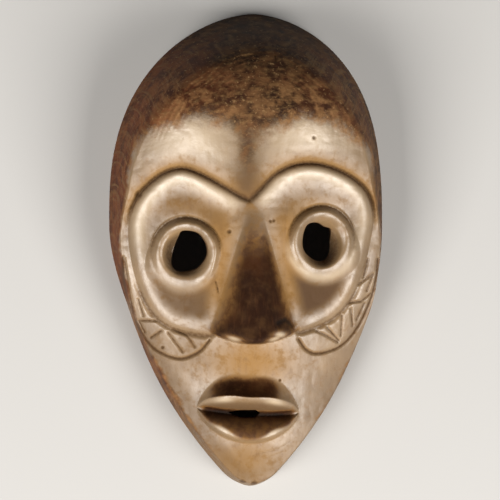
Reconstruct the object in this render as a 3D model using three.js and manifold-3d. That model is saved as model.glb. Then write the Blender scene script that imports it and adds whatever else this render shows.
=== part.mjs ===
// A miniature Dan face mask, carved from one piece of wood.
// Millimetres. The mask lies on its back rim: +Z comes out of the face, +Y points to the
// crown and +X to the right of a viewer who looks down on the face.
// The origin is the centre of the rim's box, on the surface that the rim lies on.

import * as THREE from 'three';
import Module from 'manifold-3d';
import { mergeVertices } from 'three/addons/utils/BufferGeometryUtils.js';

const { clamp, lerp } = THREE.MathUtils;

// Driving dimensions
const MASK_HEIGHT = 132;
const MASK_WIDTH = 76.6;
const RIM_WIDTH = 6.2;
const CHIN_RIM_WIDTH = 9.5;
const WALL_THICKNESS = 6.8;
const WIDEST_Y = 6;

// Values that change along a line are written as stops: [position, value]

// Outline of the rim: a superellipse to the crown, a tapering oval to a blunt chin
const CROWN_SQUARENESS = 2.8;
const CROWN_ROUNDNESS = 1.75;
const CHIN_SQUARENESS = 1.8;
const CHIN_TAPER = 0.88;
const CHIN_REACH = 0.96;
const CHIN_BLUNT_FROM = 0.94;
const CHEEK_CUT = 0.8;
const CHEEK_CUT_Y = -20;
const CHEEK_CUT_SPREAD = 16;

// Lean of the middle line to the right
const CROWN_LEAN = 1.9;
const CROWN_LEAN_FROM_Y = 20;
const CROWN_LEAN_LENGTH = 45;
const CROWN_LEAN_CURVE = 1.5;
const LOWER_LEAN_ALONG = [[-55, 1.2], [-18, 0.9], [8, 0]];

const OUTER_LOOP = {
  halfWidth: MASK_WIDTH / 2,
  crown: MASK_HEIGHT / 2,
  chin: -MASK_HEIGHT / 2,
};
const INNER_LOOP = {
  halfWidth: MASK_WIDTH / 2 - RIM_WIDTH,
  crown: MASK_HEIGHT / 2 - RIM_WIDTH,
  chin: -MASK_HEIGHT / 2 + CHIN_RIM_WIDTH,
};

// Domed face that all the carving stands on
const FOREHEAD_Y = 36;
const FOREHEAD_Z = 32.8;
const CROWN_DROP = 20;
const CROWN_CURVE = 2.2;
const CHIN_DROP = 20;
const CHIN_CURVE = 1.9;
const RIDGE_FALL = 0.16;
const RIDGE_RADIUS = 6;
const ROUNDNESS_ALONG = [[-45, 1.02], [0, 0.42]];
const BUMP_X = 17.5;
const BUMP_Z = 2.0;
const BUMP_SPREAD = 11;

// Side walls
const STEEPNESS_ALONG = [[-34, 12], [-16, 24], [-6, 12], [18, 6], [60, 3.2]];
const WALL_BLEND_ALONG = [[-6, 3.4], [10, 4.8], [46, 15]];
const INNER_STEEPNESS = 2.6;
const INNER_BLEND = 7;

// Brows: the forehead ends in a step and a groove, which fade out down the sides
const BROW_STEP = 1.5;
const BROW_STEP_WIDTH = 1.9;
const BROW_STEP_REACH = 40;
const BROW_JOIN = 3;
const BROW_FROM_Y = [[4, 13.4], [20, 3]];
const BROW_FADE = [[4, 2.4], [20, 11]];
const BROW_GROOVE_DEPTH = 1.0;
const BROW_GROOVE_WIDTH = 0.85;
const GROOVE_FROM_Y = [[4, 10], [20, 3]];
const GROOVE_FADE = [[4, 4], [20, 11]];
const GROOVE_LEAST = 0.3;
const LOWER_GROOVE_ALONG = [[-14, 0.8], [-4, 0]];

// Eye zones: a rounded rim and a hollow dish inside the edge, a ring round each eye hole
const EDGE_SOFTNESS = 0.6;
const CHEEK_SOFTNESS = 2.5;
const RIM_Z = 0.85;
const RIM_INSET = 2.2;
const RIM_SPREAD = 2.3;
const RIM_SHARE_ABOVE = [[4, 0.25], [15, 1]];
const RIM_SHARE_BELOW = [[12, 0], [26, 0.8]];
const RIM_BELOW_TO_ABOVE = [-16, -6];
const DISH_DEPTH = 1.3;
const DISH_FROM = 2.5;
const DISH_TO = 13;
const DISH_CORNER = 4;
const RING_Z = 2.2;
const RING_CREST = 0.79;
const RING_ROUNDNESS = 1.4;
const RING_INNER_FLANK = 0.32;
const RING_OUTER_END = [[-0.75, 1.3], [0.5, 1.03]];
const RING_GROOVE_SHARE = 0.985;
const RING_GROOVE_DEPTH = 0.9;
const RING_GROOVE_ALONG = [[-0.75, 0], [0.5, 1]];
const RING_GROOVE_NOSE_SIDE = [[0.3, 0], [0.9, 0.45]];
const RING_GROOVE_INSIDE = 0.085;
const RING_GROOVE_OUTSIDE = 0.05;
const FUNNEL_SLOPE = 2.1;
const FUNNEL_SOFTNESS = 1.2;
const FUNNEL_DEPTH = 4.2;
const NOSE_SIDE_Z = 0.3;
const NOSE_SIDE_SPREAD = 1.6;
const NOSE_SIDE_ALONG = [[4, 1], [12, 0]];

const EYE_SIDES = [
  {
    ring: { x: -18.1, y: -0.8, halfWidth: 9.5, halfHeight: 9.9 },
    funnel: { x: -18.1, y: -1.0, halfWidth: 6.5, halfHeight: 6.4 },
    edge: [
      [-0.9, 13.8], [-3.6, 15.0], [-8.6, 17.9], [-14.4, 21.0], [-19.2, 22.5],
      [-24.0, 21.3], [-28.2, 18.2], [-31.4, 14.4], [-33.6, 8.5], [-33.3, -0.5],
      [-30.8, -10.4], [-26.6, -18.0], [-20.8, -22.0], [-12.3, -23.6], [-10.4, -23.2],
    ],
    cheek: [
      [-10.4, -23.2], [-10.2, -19.5], [-9.7, -12.0], [-8.2, -3.0], [-5.6, 6.0],
      [-0.9, 13.8],
    ],
    hole: [
      [-19.0, 5.3], [-14.9, 4.8], [-12.6, 2.1], [-12.1, -1.0], [-13.5, -3.7],
      [-15.7, -5.4], [-19.8, -5.9], [-21.8, -4.0], [-21.2, 0.1], [-20.1, 3.5],
    ],
    band: [
      [-35.2, -2.0], [-34.8, -7.0], [-33.8, -13.0], [-31.2, -20.2], [-26.6, -27.0],
      [-19.8, -30.0], [-14.4, -28.2], [-11.4, -24.8],
    ],
    strokes: [
      [[-22.6, -22.8], [-18.7, -28.1]],
      [[-21.2, -21.7], [-17.6, -23.4], [-15.4, -26.7]],
      [[-24.5, -22.3], [-27.2, -24.2]],
      [[-25.9, -19.5], [-30.5, -19.5], [-28.9, -22.8]],
      [[-30.8, -13.7], [-29.4, -18.1]],
      [[-34.7, -2.4], [-33.2, -11.5], [-31.9, -17.8]],
    ],
  },
  {
    ring: { x: 19.4, y: 2.6, halfWidth: 9.3, halfHeight: 9.7 },
    funnel: { x: 19.3, y: 1.2, halfWidth: 5.9, halfHeight: 6.6 },
    edge: [
      [-0.9, 13.8], [1.3, 15.9], [6.2, 20.8], [11.6, 23.4], [17.2, 23.8],
      [22.8, 22.5], [28.6, 19.6], [32.6, 15.6], [34.3, 9.5], [33.2, 2.0],
      [31.2, -6.5], [27.8, -14.2], [22.4, -19.4], [14.4, -22.6], [13.0, -22.4],
    ],
    cheek: [
      [13.0, -22.4], [12.6, -19.0], [10.8, -11.5], [8.2, -2.5], [6.0, 5.5],
      [-0.9, 13.8],
    ],
    hole: [
      [15.4, 7.1], [18.1, 7.6], [20.3, 6.5], [22.1, 5.7], [22.1, 2.1], [21.9, -0.7],
      [20.8, -2.6], [18.9, -3.1], [16.7, -2.3], [14.5, -0.4], [13.9, 1.8], [14.2, 4.8],
    ],
    band: [
      [35.6, -2.5], [35.2, -7.5], [33.8, -13.6], [30.4, -21.2], [25.6, -26.5],
      [19.2, -28.6], [15.6, -27.6], [13.2, -24.6],
    ],
    strokes: [
      [[18.3, -22.3], [21.5, -23.8], [24.5, -25.5]],
      [[21.4, -21.4], [24.8, -25.0]],
      [[25.6, -18.1], [25.4, -23.6]],
      [[28.1, -16.2], [28.7, -20.9]],
      [[32.0, -14.8], [29.9, -19.2]],
      [[27.8, -14.5], [31.0, -14.2], [33.8, -12.0]],
      [[30.1, -9.5], [34.4, -6.6], [32.6, -11.2]],
      [[31.5, -7.6], [32.6, -2.6]],
    ],
  },
];

// Chip-carved bands below the eye zones
const BAND_WIDTH = 1.4;
const BAND_DEPTH = 0.6;
const STROKE_WIDTH = 1.2;
const STROKE_DEPTH = 0.45;

// Nose wedge
const NOSE_X = 0.5;
const NOSE_ROOT_Y = 12;
const NOSE_START = 0.2;
const NOSE_BASE_Y = -26;
const NOSE_WING_RISE = 2.8;
const NOSE_WING_X = 11;
const NOSE_ROOT_HALF_WIDTH = 1.8;
const NOSE_FLARE = 0.295;
const NOSE_Z = 11.6;
const NOSE_SIDE_CURVE = [2.8, 1.35];
const NOSE_TIP_ROUND = 1.2;
const NOSE_UNDER_CURVE = 2.2;
const NOSE_UNDER_STEEPNESS = 0.6;
const NOSTRIL_X = 5.6;
const NOSTRIL_SPREAD = 2.6;
const NOSTRIL_ROUND = 2.4;

// Mouth
const MOUTH_X = -0.4;
const MOUTH_Y = -45;
const MOUTH_HALF_WIDTH = 14;
const MOUTH_CORNER_RISE = 0.9;
const MOUTH_TILT = -0.05;
const UPPER_LIP_HEIGHT = 4.9;
const UPPER_LIP_Z = 5.6;
const UPPER_LIP_CURVE = [2.4, 0.6];
const UPPER_LIP_Z_CURVE = [3, 0.7];
const UPPER_LIP_FALL = 2.2;
const LIP_BOW = 0.4;
const LIP_BOW_SPREAD = 0.3;
const UPPER_SLOPE_HEIGHT = 6.4;
const UPPER_SLOPE_OUTLINE = [3, 0.9];
const UPPER_SLOPE_CURVE = 1.7;
const LOWER_LIP_HEIGHT = 7.2;
const LOWER_LIP_CURVE = [2, 0.72];
const LOWER_LIP_Z = 4.8;
const LOWER_LIP_Z_CURVE = [2.6, 0.7];
const LIP_GROOVE_DEPTH = 1.2;
const LIP_GROOVE_HEIGHT = 0.7;
const LIP_GROOVE_REACH = 0.93;
const LIP_GROOVE_CURVE = [4, 1];
const LEAST_LIP_RISE = 0.3;
const LIP_EDGE = 1.5;
const MOUTH_SLOT = [
  [-6.2, -44.8], [-3.2, -44.2], [1.4, -44.1], [2.9, -45.0], [1.6, -46.4], [-2.4, -46.4],
];

// Facets
const RIM_POINTS = 112;
const OUTER_POINTS = 3850;
const INNER_POINTS = 600;
const SAMPLE_STEP_ACROSS = 0.011;
const SAMPLE_STEP_ALONG = 0.0068;
const CURVE_STEPS = 4;
const SAMPLE_CLEARANCE = 0.004;
const SLOPE_STEP = 0.01;
const MERGE_DISTANCE = 1e-5;
const TINY = 1e-9;
const CIRCLE_TOLERANCE = 1e-14;

// Small helpers
const ease = (from, to, value) => {
  const t = clamp((value - from) / (to - from), 0, 1);
  return t * t * (3 - 2 * t);
};

// Value at a position between stops, eased from each stop to the next
const valueAt = (stops, position) =>
  stops.reduce(
    (value, stop, i) => (i ? lerp(value, stop[1], ease(stops[i - 1][0], stop[0], position)) : stop[1]),
    0,
  );

const bell = (value, centre, spread) => Math.exp(-(((value - centre) / spread) ** 2));

const smoothMin = (a, b, blend) => {
  const h = clamp(0.5 + (0.5 * (b - a)) / blend, 0, 1);
  return lerp(b, a, h) - blend * h * (1 - h);
};

// Arch from 1 in the middle to 0 at the end, with the two exponents of its curve
const arch = (side, [inner, outer]) => (1 - Math.min(side, 1) ** inner) ** outer;

// Outline of a loop on the back plane
const loopHalfWidth = (y, loop) => {
  const up = clamp((y - WIDEST_Y) / (loop.crown - WIDEST_Y), 0, 1);
  const down = clamp((WIDEST_Y - y) / (WIDEST_Y - loop.chin), 0, 1);
  const top = (1 - up ** CROWN_SQUARENESS) ** (1 / CROWN_ROUNDNESS);
  const taper = (1 - (CHIN_REACH * down) ** CHIN_SQUARENESS) ** CHIN_TAPER;
  const blunt = clamp((down - CHIN_BLUNT_FROM) / (1 - CHIN_BLUNT_FROM), 0, 1);
  const width = loop.halfWidth * top * taper * Math.sqrt(1 - blunt ** 3);
  return Math.max(width - CHEEK_CUT * bell(y, CHEEK_CUT_Y, CHEEK_CUT_SPREAD), 0);
};

// The middle line leans a little to the right at the crown and below the eyes
const middleX = (y) => {
  const crown = clamp((y - CROWN_LEAN_FROM_Y) / CROWN_LEAN_LENGTH, 0, 1);
  return CROWN_LEAN * crown ** CROWN_LEAN_CURVE + valueAt(LOWER_LEAN_ALONG, y);
};

// A point of the unit disc stands for a point inside a loop, u across and v along
const diskToPlan = (u, v, loop) => {
  const middle = (loop.crown + loop.chin) / 2;
  const half = (loop.crown - loop.chin) / 2;
  const y = middle + half * v + (WIDEST_Y - middle) * (1 - v * v);
  const across = Math.sqrt(Math.max(1 - v * v, TINY));
  return [middleX(y) + (u / across) * loopHalfWidth(y, loop), y];
};

const planToDiskRadius = (x, y, loop) => {
  const middle = (loop.crown + loop.chin) / 2;
  const half = (loop.crown - loop.chin) / 2;
  const lift = WIDEST_Y - middle;
  const root = Math.sqrt(Math.max(half * half - 4 * lift * (y - middle - lift), 0));
  const v = (half - root) / (2 * lift);
  const width = Math.max(loopHalfWidth(y, loop), TINY);
  const u = ((x - middleX(y)) / width) * Math.sqrt(Math.max(1 - v * v, 0));
  return Math.hypot(u, v);
};

// Distance in plan from a point to the loop round it
const distanceToLoop = (x, y, loop) => {
  const e = SLOPE_STEP;
  const radius = planToDiskRadius(x, y, loop);
  const slopeX = planToDiskRadius(x + e, y, loop) - planToDiskRadius(x - e, y, loop);
  const slopeY = planToDiskRadius(x, y + e, loop) - planToDiskRadius(x, y - e, loop);
  const gradient = Math.hypot(slopeX, slopeY) / (2 * e);
  return Math.max(1 - radius, 0) / Math.max(gradient, TINY);
};

// Curves through a few points, as short straight pieces
const curveThrough = (points) => {
  const vectors = points.map(([x, y]) => new THREE.Vector3(x, y, 0));
  const curve = new THREE.CatmullRomCurve3(vectors, false, 'catmullrom', 0.5);
  const places = curve.getPoints((points.length - 1) * CURVE_STEPS);
  return places.map((place) => [place.x, place.y]);
};

const distanceToLine = (x, y, line) => {
  let nearest = Infinity;
  for (let i = 1; i < line.length; i += 1) {
    const [ax, ay] = line[i - 1];
    const dx = line[i][0] - ax;
    const dy = line[i][1] - ay;
    const t = clamp(((x - ax) * dx + (y - ay) * dy) / (dx * dx + dy * dy), 0, 1);
    nearest = Math.min(nearest, Math.hypot(x - ax - t * dx, y - ay - t * dy));
  }
  return nearest;
};

const isInside = (x, y, line) => {
  let inside = false;
  for (let i = 1; i < line.length; i += 1) {
    const [ax, ay] = line[i - 1];
    const [bx, by] = line[i];
    if (ay > y !== by > y && x < ((bx - ax) * (y - ay)) / (by - ay) + ax) {
      inside = !inside;
    }
  }
  return inside;
};

const EYES = EYE_SIDES.map((side) => {
  const edgeLine = curveThrough(side.edge);
  const cheekLine = curveThrough(side.cheek);
  return {
    ...side,
    edgeLine,
    cheekLine,
    zoneLine: [...edgeLine, ...cheekLine.slice(1)],
    bandLine: curveThrough(side.band),
  };
});

// Where a point lies in the eye zones
const measureZone = (x, y, eye) => ({
  toEdge: distanceToLine(x, y, eye.edgeLine),
  toCheek: distanceToLine(x, y, eye.cheekLine),
  inside: isInside(x, y, eye.zoneLine),
});

// Domed face without carving
const domeHeight = (x, y) => {
  const up = clamp((y - FOREHEAD_Y) / (OUTER_LOOP.crown - FOREHEAD_Y), 0, 1);
  const down = clamp((FOREHEAD_Y - y) / (FOREHEAD_Y - OUTER_LOOP.chin), 0, 1);
  const drop = CROWN_DROP * up ** CROWN_CURVE + CHIN_DROP * down ** CHIN_CURVE;
  const ridge = RIDGE_FALL * (Math.hypot(x, RIDGE_RADIUS) - RIDGE_RADIUS);
  const round = (valueAt(ROUNDNESS_ALONG, y) * x * x) / MASK_WIDTH;
  return FOREHEAD_Z - drop - ridge - round;
};

const foreheadBumps = (x, y) => {
  const sides = bell(x, -BUMP_X, BUMP_SPREAD) + bell(x, BUMP_X, BUMP_SPREAD);
  return BUMP_Z * sides * bell(y, FOREHEAD_Y, BUMP_SPREAD);
};

// V-shaped knife cut at a distance from its line
const knifeCut = (distance, width, depth) => -depth * clamp(1 - distance / (width / 2), 0, 1);

// Share of an ellipse's size at which a point lies: 0 at its centre, 1 on it
const ellipseShare = (x, y, ellipse) =>
  Math.hypot((x - ellipse.x) / ellipse.halfWidth, (y - ellipse.y) / ellipse.halfHeight);

const browHeight = (x, y, zones) => {
  const [left, right] = zones;
  const out = Math.abs(x);
  const step = ease(0, 1, (y - valueAt(BROW_FROM_Y, out)) / valueAt(BROW_FADE, out));
  const notch = ease(0, 1, (y - valueAt(GROOVE_FROM_Y, out)) / valueAt(GROOVE_FADE, out));
  const lower = valueAt(LOWER_GROOVE_ALONG, y);
  const near = Math.min(left.toEdge, right.toEdge);
  const groove = bell(near, 0, BROW_GROOVE_WIDTH) * Math.max(notch, lower, GROOVE_LEAST);
  let height = -BROW_GROOVE_DEPTH * groove;
  if (!left.inside && !right.inside) {
    const away = Math.max(smoothMin(left.toEdge, right.toEdge, BROW_JOIN), 0);
    const rise = 1 - Math.exp(-away / BROW_STEP_WIDTH);
    height += BROW_STEP * step * rise * Math.exp(-away / BROW_STEP_REACH);
  }
  return height;
};

// 1 on the top of the goggle rim, less to both sides of it
const rimShare = (x, y, zone) => {
  const above = valueAt(RIM_SHARE_ABOVE, Math.abs(x));
  const below = valueAt(RIM_SHARE_BELOW, Math.abs(x));
  const strength = lerp(below, above, ease(...RIM_BELOW_TO_ABOVE, y));
  return strength * bell(zone.toEdge, RIM_INSET, RIM_SPREAD);
};

// Goggle rim, hollow dish, ring and funnel inside one eye zone
const eyeHeight = (x, y, zone, eye) => {
  const share = ellipseShare(x, y, eye.ring);
  const level = (y - eye.ring.y) / eye.ring.halfHeight;
  const inward = smoothMin(zone.toEdge, zone.toCheek, DISH_CORNER);
  const away = share - RING_CREST;
  const outerFlank = valueAt(RING_OUTER_END, level) - RING_CREST;
  const flank = away > 0 ? away / outerFlank : away / -RING_INNER_FLANK;
  const spread = share < RING_GROOVE_SHARE ? RING_GROOVE_INSIDE : RING_GROOVE_OUTSIDE;
  const toNose = ((x - eye.ring.x) / eye.ring.halfWidth) * -Math.sign(eye.ring.x);
  const strength = Math.max(
    valueAt(RING_GROOVE_ALONG, level),
    valueAt(RING_GROOVE_NOSE_SIDE, toNose),
  );
  const groove = strength * bell(share, RING_GROOVE_SHARE, spread);
  const funnel = Math.max(1 - ellipseShare(x, y, eye.funnel), 0) * eye.funnel.halfWidth;
  const funnelZ = (FUNNEL_SLOPE * funnel ** 2) / (funnel + FUNNEL_SOFTNESS);
  let height = RIM_Z * rimShare(x, y, zone);
  height -= DISH_DEPTH * ease(DISH_FROM, DISH_TO, inward);
  height += RING_Z * (1 - clamp(flank, 0, 1) ** 2) ** RING_ROUNDNESS;
  height -= RING_GROOVE_DEPTH * groove;
  return height - Math.min(funnelZ, FUNNEL_DEPTH);
};

// Two arcs and the slanting strokes between them
const bandHeight = (x, y, eye) => {
  let height = knifeCut(distanceToLine(x, y, eye.bandLine), BAND_WIDTH, BAND_DEPTH);
  for (const stroke of eye.strokes) {
    const cut = knifeCut(distanceToLine(x, y, stroke), STROKE_WIDTH, STROKE_DEPTH);
    height = Math.min(height, cut);
  }
  return height;
};

const noseHeight = (x, y) => {
  const across = Math.abs(x - NOSE_X);
  const base = NOSE_BASE_Y + NOSE_WING_RISE * (across / NOSE_WING_X) ** 2;
  if (y > NOSE_ROOT_Y || y < base) {
    return 0;
  }
  const along = (NOSE_ROOT_Y - y) / (NOSE_ROOT_Y - NOSE_BASE_Y);
  const ridge = (along ** 2 / (along + NOSE_START)) * (1 + NOSE_START);
  const halfWidth = NOSE_ROOT_HALF_WIDTH + NOSE_FLARE * (NOSE_ROOT_Y - y);
  const round = NOSE_TIP_ROUND + NOSTRIL_ROUND * bell(across, NOSTRIL_X, NOSTRIL_SPREAD);
  const under = clamp((base + round - y) / round, 0, 1);
  const underside = (1 - under ** NOSE_UNDER_CURVE) ** NOSE_UNDER_STEEPNESS;
  return NOSE_Z * ridge * arch(across / halfWidth, NOSE_SIDE_CURVE) * underside;
};

const mouthHeight = (x, y) => {
  const share = (x - MOUTH_X) / MOUTH_HALF_WIDTH;
  const side = Math.abs(share);
  if (side >= 1) {
    return 0;
  }
  const line = MOUTH_Y + MOUTH_CORNER_RISE * side ** 2 + MOUTH_TILT * (x - MOUTH_X);
  const bow = LIP_BOW * bell(share, 0, LIP_BOW_SPREAD);
  const upperEdge = line + UPPER_LIP_HEIGHT * arch(side, UPPER_LIP_CURVE) - bow;
  const slopeTop = upperEdge + UPPER_SLOPE_HEIGHT * arch(side, UPPER_SLOPE_OUTLINE);
  const lowerEdge = line - LOWER_LIP_HEIGHT * arch(side, LOWER_LIP_CURVE);
  const upperZ = UPPER_LIP_Z * arch(side, UPPER_LIP_Z_CURVE);
  const lowerZ = LOWER_LIP_Z * arch(side, LOWER_LIP_Z_CURVE);
  const slotZ = -LIP_GROOVE_DEPTH * arch(side / LIP_GROOVE_REACH, LIP_GROOVE_CURVE);
  if (y > slopeTop) {
    return 0;
  }
  if (y > upperEdge) {
    return upperZ * ((slopeTop - y) / (slopeTop - upperEdge)) ** UPPER_SLOPE_CURVE;
  }
  if (y > line) {
    const fall = (upperEdge - y) / (upperEdge - line);
    return lerp(slotZ, upperZ, 1 - fall ** UPPER_LIP_FALL);
  }
  if (y > lowerEdge) {
    const from = line - LIP_GROOVE_HEIGHT;
    const rise = clamp((from - y) / Math.max(from - lowerEdge, LEAST_LIP_RISE), 0, 1);
    return lerp(slotZ, lowerZ, Math.sin((rise * Math.PI) / 2));
  }
  return lowerZ * (1 - ease(0, LIP_EDGE, lowerEdge - y));
};

const faceHeight = (x, y) => {
  const zones = EYES.map((eye) => measureZone(x, y, eye));
  let height = domeHeight(x, y) + foreheadBumps(x, y) + browHeight(x, y, zones);
  EYES.forEach((eye, i) => {
    const zone = zones[i];
    if (zone.inside) {
      const fade = ease(0, EDGE_SOFTNESS, zone.toEdge) * ease(0, CHEEK_SOFTNESS, zone.toCheek);
      height += eyeHeight(x, y, zone, eye) * fade;
    }
    const strip = bell(zone.toCheek, 0, NOSE_SIDE_SPREAD) * valueAt(NOSE_SIDE_ALONG, y);
    height += NOSE_SIDE_Z * strip + bandHeight(x, y, eye);
  });
  return height + noseHeight(x, y) + mouthHeight(x, y);
};

// Outer surface: the carved face rounds over into steep side walls
const outerHeight = (x, y) => {
  const wall = valueAt(STEEPNESS_ALONG, y) * distanceToLoop(x, y, OUTER_LOOP);
  return smoothMin(faceHeight(x, y), wall, valueAt(WALL_BLEND_ALONG, y));
};

// Inner surface: a plain bowl, one wall thickness below the dome
const innerHeight = (x, y) => {
  const wall = INNER_STEEPNESS * distanceToLoop(x, y, INNER_LOOP);
  return smoothMin(domeHeight(x, y) - WALL_THICKNESS, wall, INNER_BLEND);
};

// Point of a surface for a point of the unit disc, with more of the disc for the walls
const surfacePoint = (p, q, loop, heightAt) => {
  const radius = Math.hypot(p, q);
  const spread = radius > 0 ? Math.sin((Math.min(radius, 1) * Math.PI) / 2) / radius : 1;
  const [x, y] = diskToPlan(p * spread, q * spread, loop);
  const z = radius > 1 - TINY ? 0 : heightAt(x, y);
  return new THREE.Vector3(x, y, z);
};

// Delaunay triangulation of the disc that grows where the surface is furthest from it
class SurfaceMesh {
  constructor(loop, heightAt) {
    this.loop = loop;
    this.heightAt = heightAt;
    this.points = [];
    this.triangles = new Set();
    const ring = [];
    for (let i = 0; i < RIM_POINTS; i += 1) {
      const angle = (i / RIM_POINTS) * Math.PI * 2;
      ring.push(this.addPoint(Math.cos(angle), Math.sin(angle)));
    }
    const centre = this.addPoint(0, 0);
    const fan = ring.map((a, i) => this.makeTriangle(a, ring[(i + 1) % RIM_POINTS], centre));
    fan.forEach((triangle, i) => {
      triangle.neighbours[1] = fan[(i + 1) % RIM_POINTS];
      triangle.neighbours[2] = fan[(i + RIM_POINTS - 1) % RIM_POINTS];
    });
    this.shareSamples(fan, this.makeSamples());
  }

  addPoint(p, q) {
    this.points.push({ p, q, place: surfacePoint(p, q, this.loop, this.heightAt) });
    return this.points.length - 1;
  }

  makeSamples() {
    const samples = [];
    const limit = Math.cos(Math.PI / RIM_POINTS) - SAMPLE_CLEARANCE;
    for (let p = -1; p <= 1; p += SAMPLE_STEP_ACROSS) {
      for (let q = -1; q <= 1; q += SAMPLE_STEP_ALONG) {
        if (Math.hypot(p, q) < limit) {
          samples.push({ p, q, place: surfacePoint(p, q, this.loop, this.heightAt) });
        }
      }
    }
    return samples;
  }

  // Edge i of a triangle runs from corner i to corner i + 1
  makeTriangle(a, b, c) {
    const triangle = { corners: [a, b, c], neighbours: [null, null, null], samples: [] };
    this.triangles.add(triangle);
    return triangle;
  }

  turn(a, b, point) {
    const from = this.points[a];
    const to = this.points[b];
    return (to.p - from.p) * (point.q - from.q) - (to.q - from.q) * (point.p - from.p);
  }

  contains(triangle, point) {
    const [a, b, c] = triangle.corners;
    return this.turn(a, b, point) >= 0 && this.turn(b, c, point) >= 0 && this.turn(c, a, point) >= 0;
  }

  circleHolds(triangle, point) {
    const rows = triangle.corners.map((i) => {
      const dp = this.points[i].p - point.p;
      const dq = this.points[i].q - point.q;
      return [dp, dq, dp * dp + dq * dq];
    });
    const [a, b, c] = rows;
    const sum =
      a[2] * (b[0] * c[1] - c[0] * b[1]) -
      b[2] * (a[0] * c[1] - c[0] * a[1]) +
      c[2] * (a[0] * b[1] - b[0] * a[1]);
    return sum > CIRCLE_TOLERANCE;
  }

  shareSamples(triangles, samples) {
    for (const sample of samples) {
      const home = triangles.find((triangle) => this.contains(triangle, sample));
      if (home) {
        home.samples.push(sample);
      }
    }
    triangles.forEach((triangle) => this.measure(triangle));
  }

  // Keeps the sample that lies furthest from the triangle's plane
  measure(triangle) {
    const [a, b, c] = triangle.corners.map((i) => this.points[i].place);
    const normal = new THREE.Vector3().subVectors(b, a);
    normal.cross(new THREE.Vector3().subVectors(c, a)).normalize();
    const offset = normal.dot(a);
    triangle.error = 0;
    for (const sample of triangle.samples) {
      const error = Math.abs(normal.dot(sample.place) - offset);
      if (error > triangle.error) {
        triangle.error = error;
        triangle.worst = sample;
      }
    }
  }

  insertWorst() {
    let start = null;
    for (const triangle of this.triangles) {
      if (!start || triangle.error > start.error) {
        start = triangle;
      }
    }
    const point = start.worst;
    const cavity = new Set([start]);
    const queue = [start];
    while (queue.length > 0) {
      for (const next of queue.pop().neighbours) {
        if (next && !cavity.has(next) && this.circleHolds(next, point)) {
          cavity.add(next);
          queue.push(next);
        }
      }
    }
    const samples = [...cavity].flatMap((triangle) => triangle.samples);
    this.fillCavity(cavity, point, samples.filter((sample) => sample !== point));
  }

  fillCavity(cavity, point, samples) {
    this.points.push(point);
    const apex = this.points.length - 1;
    const startingAt = new Map();
    const endingAt = new Map();
    for (const old of cavity) {
      this.triangles.delete(old);
      old.neighbours.forEach((next, i) => {
        if (next && cavity.has(next)) {
          return;
        }
        const from = old.corners[i];
        const to = old.corners[(i + 1) % 3];
        const made = this.makeTriangle(from, to, apex);
        made.neighbours[0] = next;
        if (next) {
          next.neighbours[next.neighbours.indexOf(old)] = made;
        }
        startingAt.set(from, made);
        endingAt.set(to, made);
      });
    }
    for (const made of startingAt.values()) {
      made.neighbours[1] = startingAt.get(made.corners[1]);
      made.neighbours[2] = endingAt.get(made.corners[0]);
    }
    this.shareSamples([...startingAt.values()], samples);
  }
}

const fitSurface = (loop, heightAt, pointCount) => {
  const mesh = new SurfaceMesh(loop, heightAt);
  while (mesh.points.length < pointCount) {
    mesh.insertWorst();
  }
  return mesh;
};

// The shell: outer surface, flat rim on the back plane, inner surface
const makeShellGeometry = () => {
  const outer = fitSurface(OUTER_LOOP, outerHeight, OUTER_POINTS);
  const inner = fitSurface(INNER_LOOP, innerHeight, INNER_POINTS);
  const shift = outer.points.length;
  const places = [...outer.points, ...inner.points].map((point) => point.place);
  const index = [];
  for (const { corners } of outer.triangles) {
    index.push(...corners);
  }
  for (const { corners: [a, b, c] } of inner.triangles) {
    index.push(a + shift, c + shift, b + shift);
  }
  for (let i = 0; i < RIM_POINTS; i += 1) {
    const j = (i + 1) % RIM_POINTS;
    index.push(i, i + shift, j, j, i + shift, j + shift);
  }
  const geometry = new THREE.BufferGeometry().setFromPoints(places);
  geometry.setIndex(index);
  return geometry;
};

// Straight cut through the whole shell with a given outline
const makeCutGeometry = (outline) => {
  const shape = new THREE.Shape(outline.map(([x, y]) => new THREE.Vector2(x, y)));
  const depth = FOREHEAD_Z + 2 * WALL_THICKNESS;
  const geometry = new THREE.ExtrudeGeometry(shape, { depth, bevelEnabled: false });
  return geometry.translate(0, 0, -WALL_THICKNESS);
};

const wasm = await Module();
wasm.setup();

const toSolid = (geometry) => {
  geometry.deleteAttribute('normal');
  geometry.deleteAttribute('uv');
  const merged = mergeVertices(geometry, MERGE_DISTANCE);
  const mesh = new wasm.Mesh({
    numProp: 3,
    vertProperties: new Float32Array(merged.attributes.position.array),
    triVerts: new Uint32Array(merged.index.array),
  });
  return new wasm.Manifold(mesh);
};

const toGeometry = (solid) => {
  const { vertProperties, triVerts } = solid.getMesh();
  const geometry = new THREE.BufferGeometry();
  geometry.setAttribute('position', new THREE.BufferAttribute(vertProperties, 3));
  geometry.setIndex(new THREE.BufferAttribute(triVerts, 1));
  geometry.computeVertexNormals();
  return geometry;
};

let shell = toSolid(makeShellGeometry());
for (const outline of [...EYES.map((eye) => eye.hole), MOUTH_SLOT]) {
  shell = shell.subtract(toSolid(makeCutGeometry(outline)));
}

const wood = new THREE.MeshStandardMaterial({ color: 0x9a7a58, roughness: 0.42, metalness: 0 });
const mask = new THREE.Mesh(toGeometry(shell), wood);
mask.name = 'mask';

const object = new THREE.Group();
object.add(mask);

export default object;
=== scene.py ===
import math

import bmesh
import bpy
import numpy as np
from mathutils import Matrix, Vector


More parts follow.
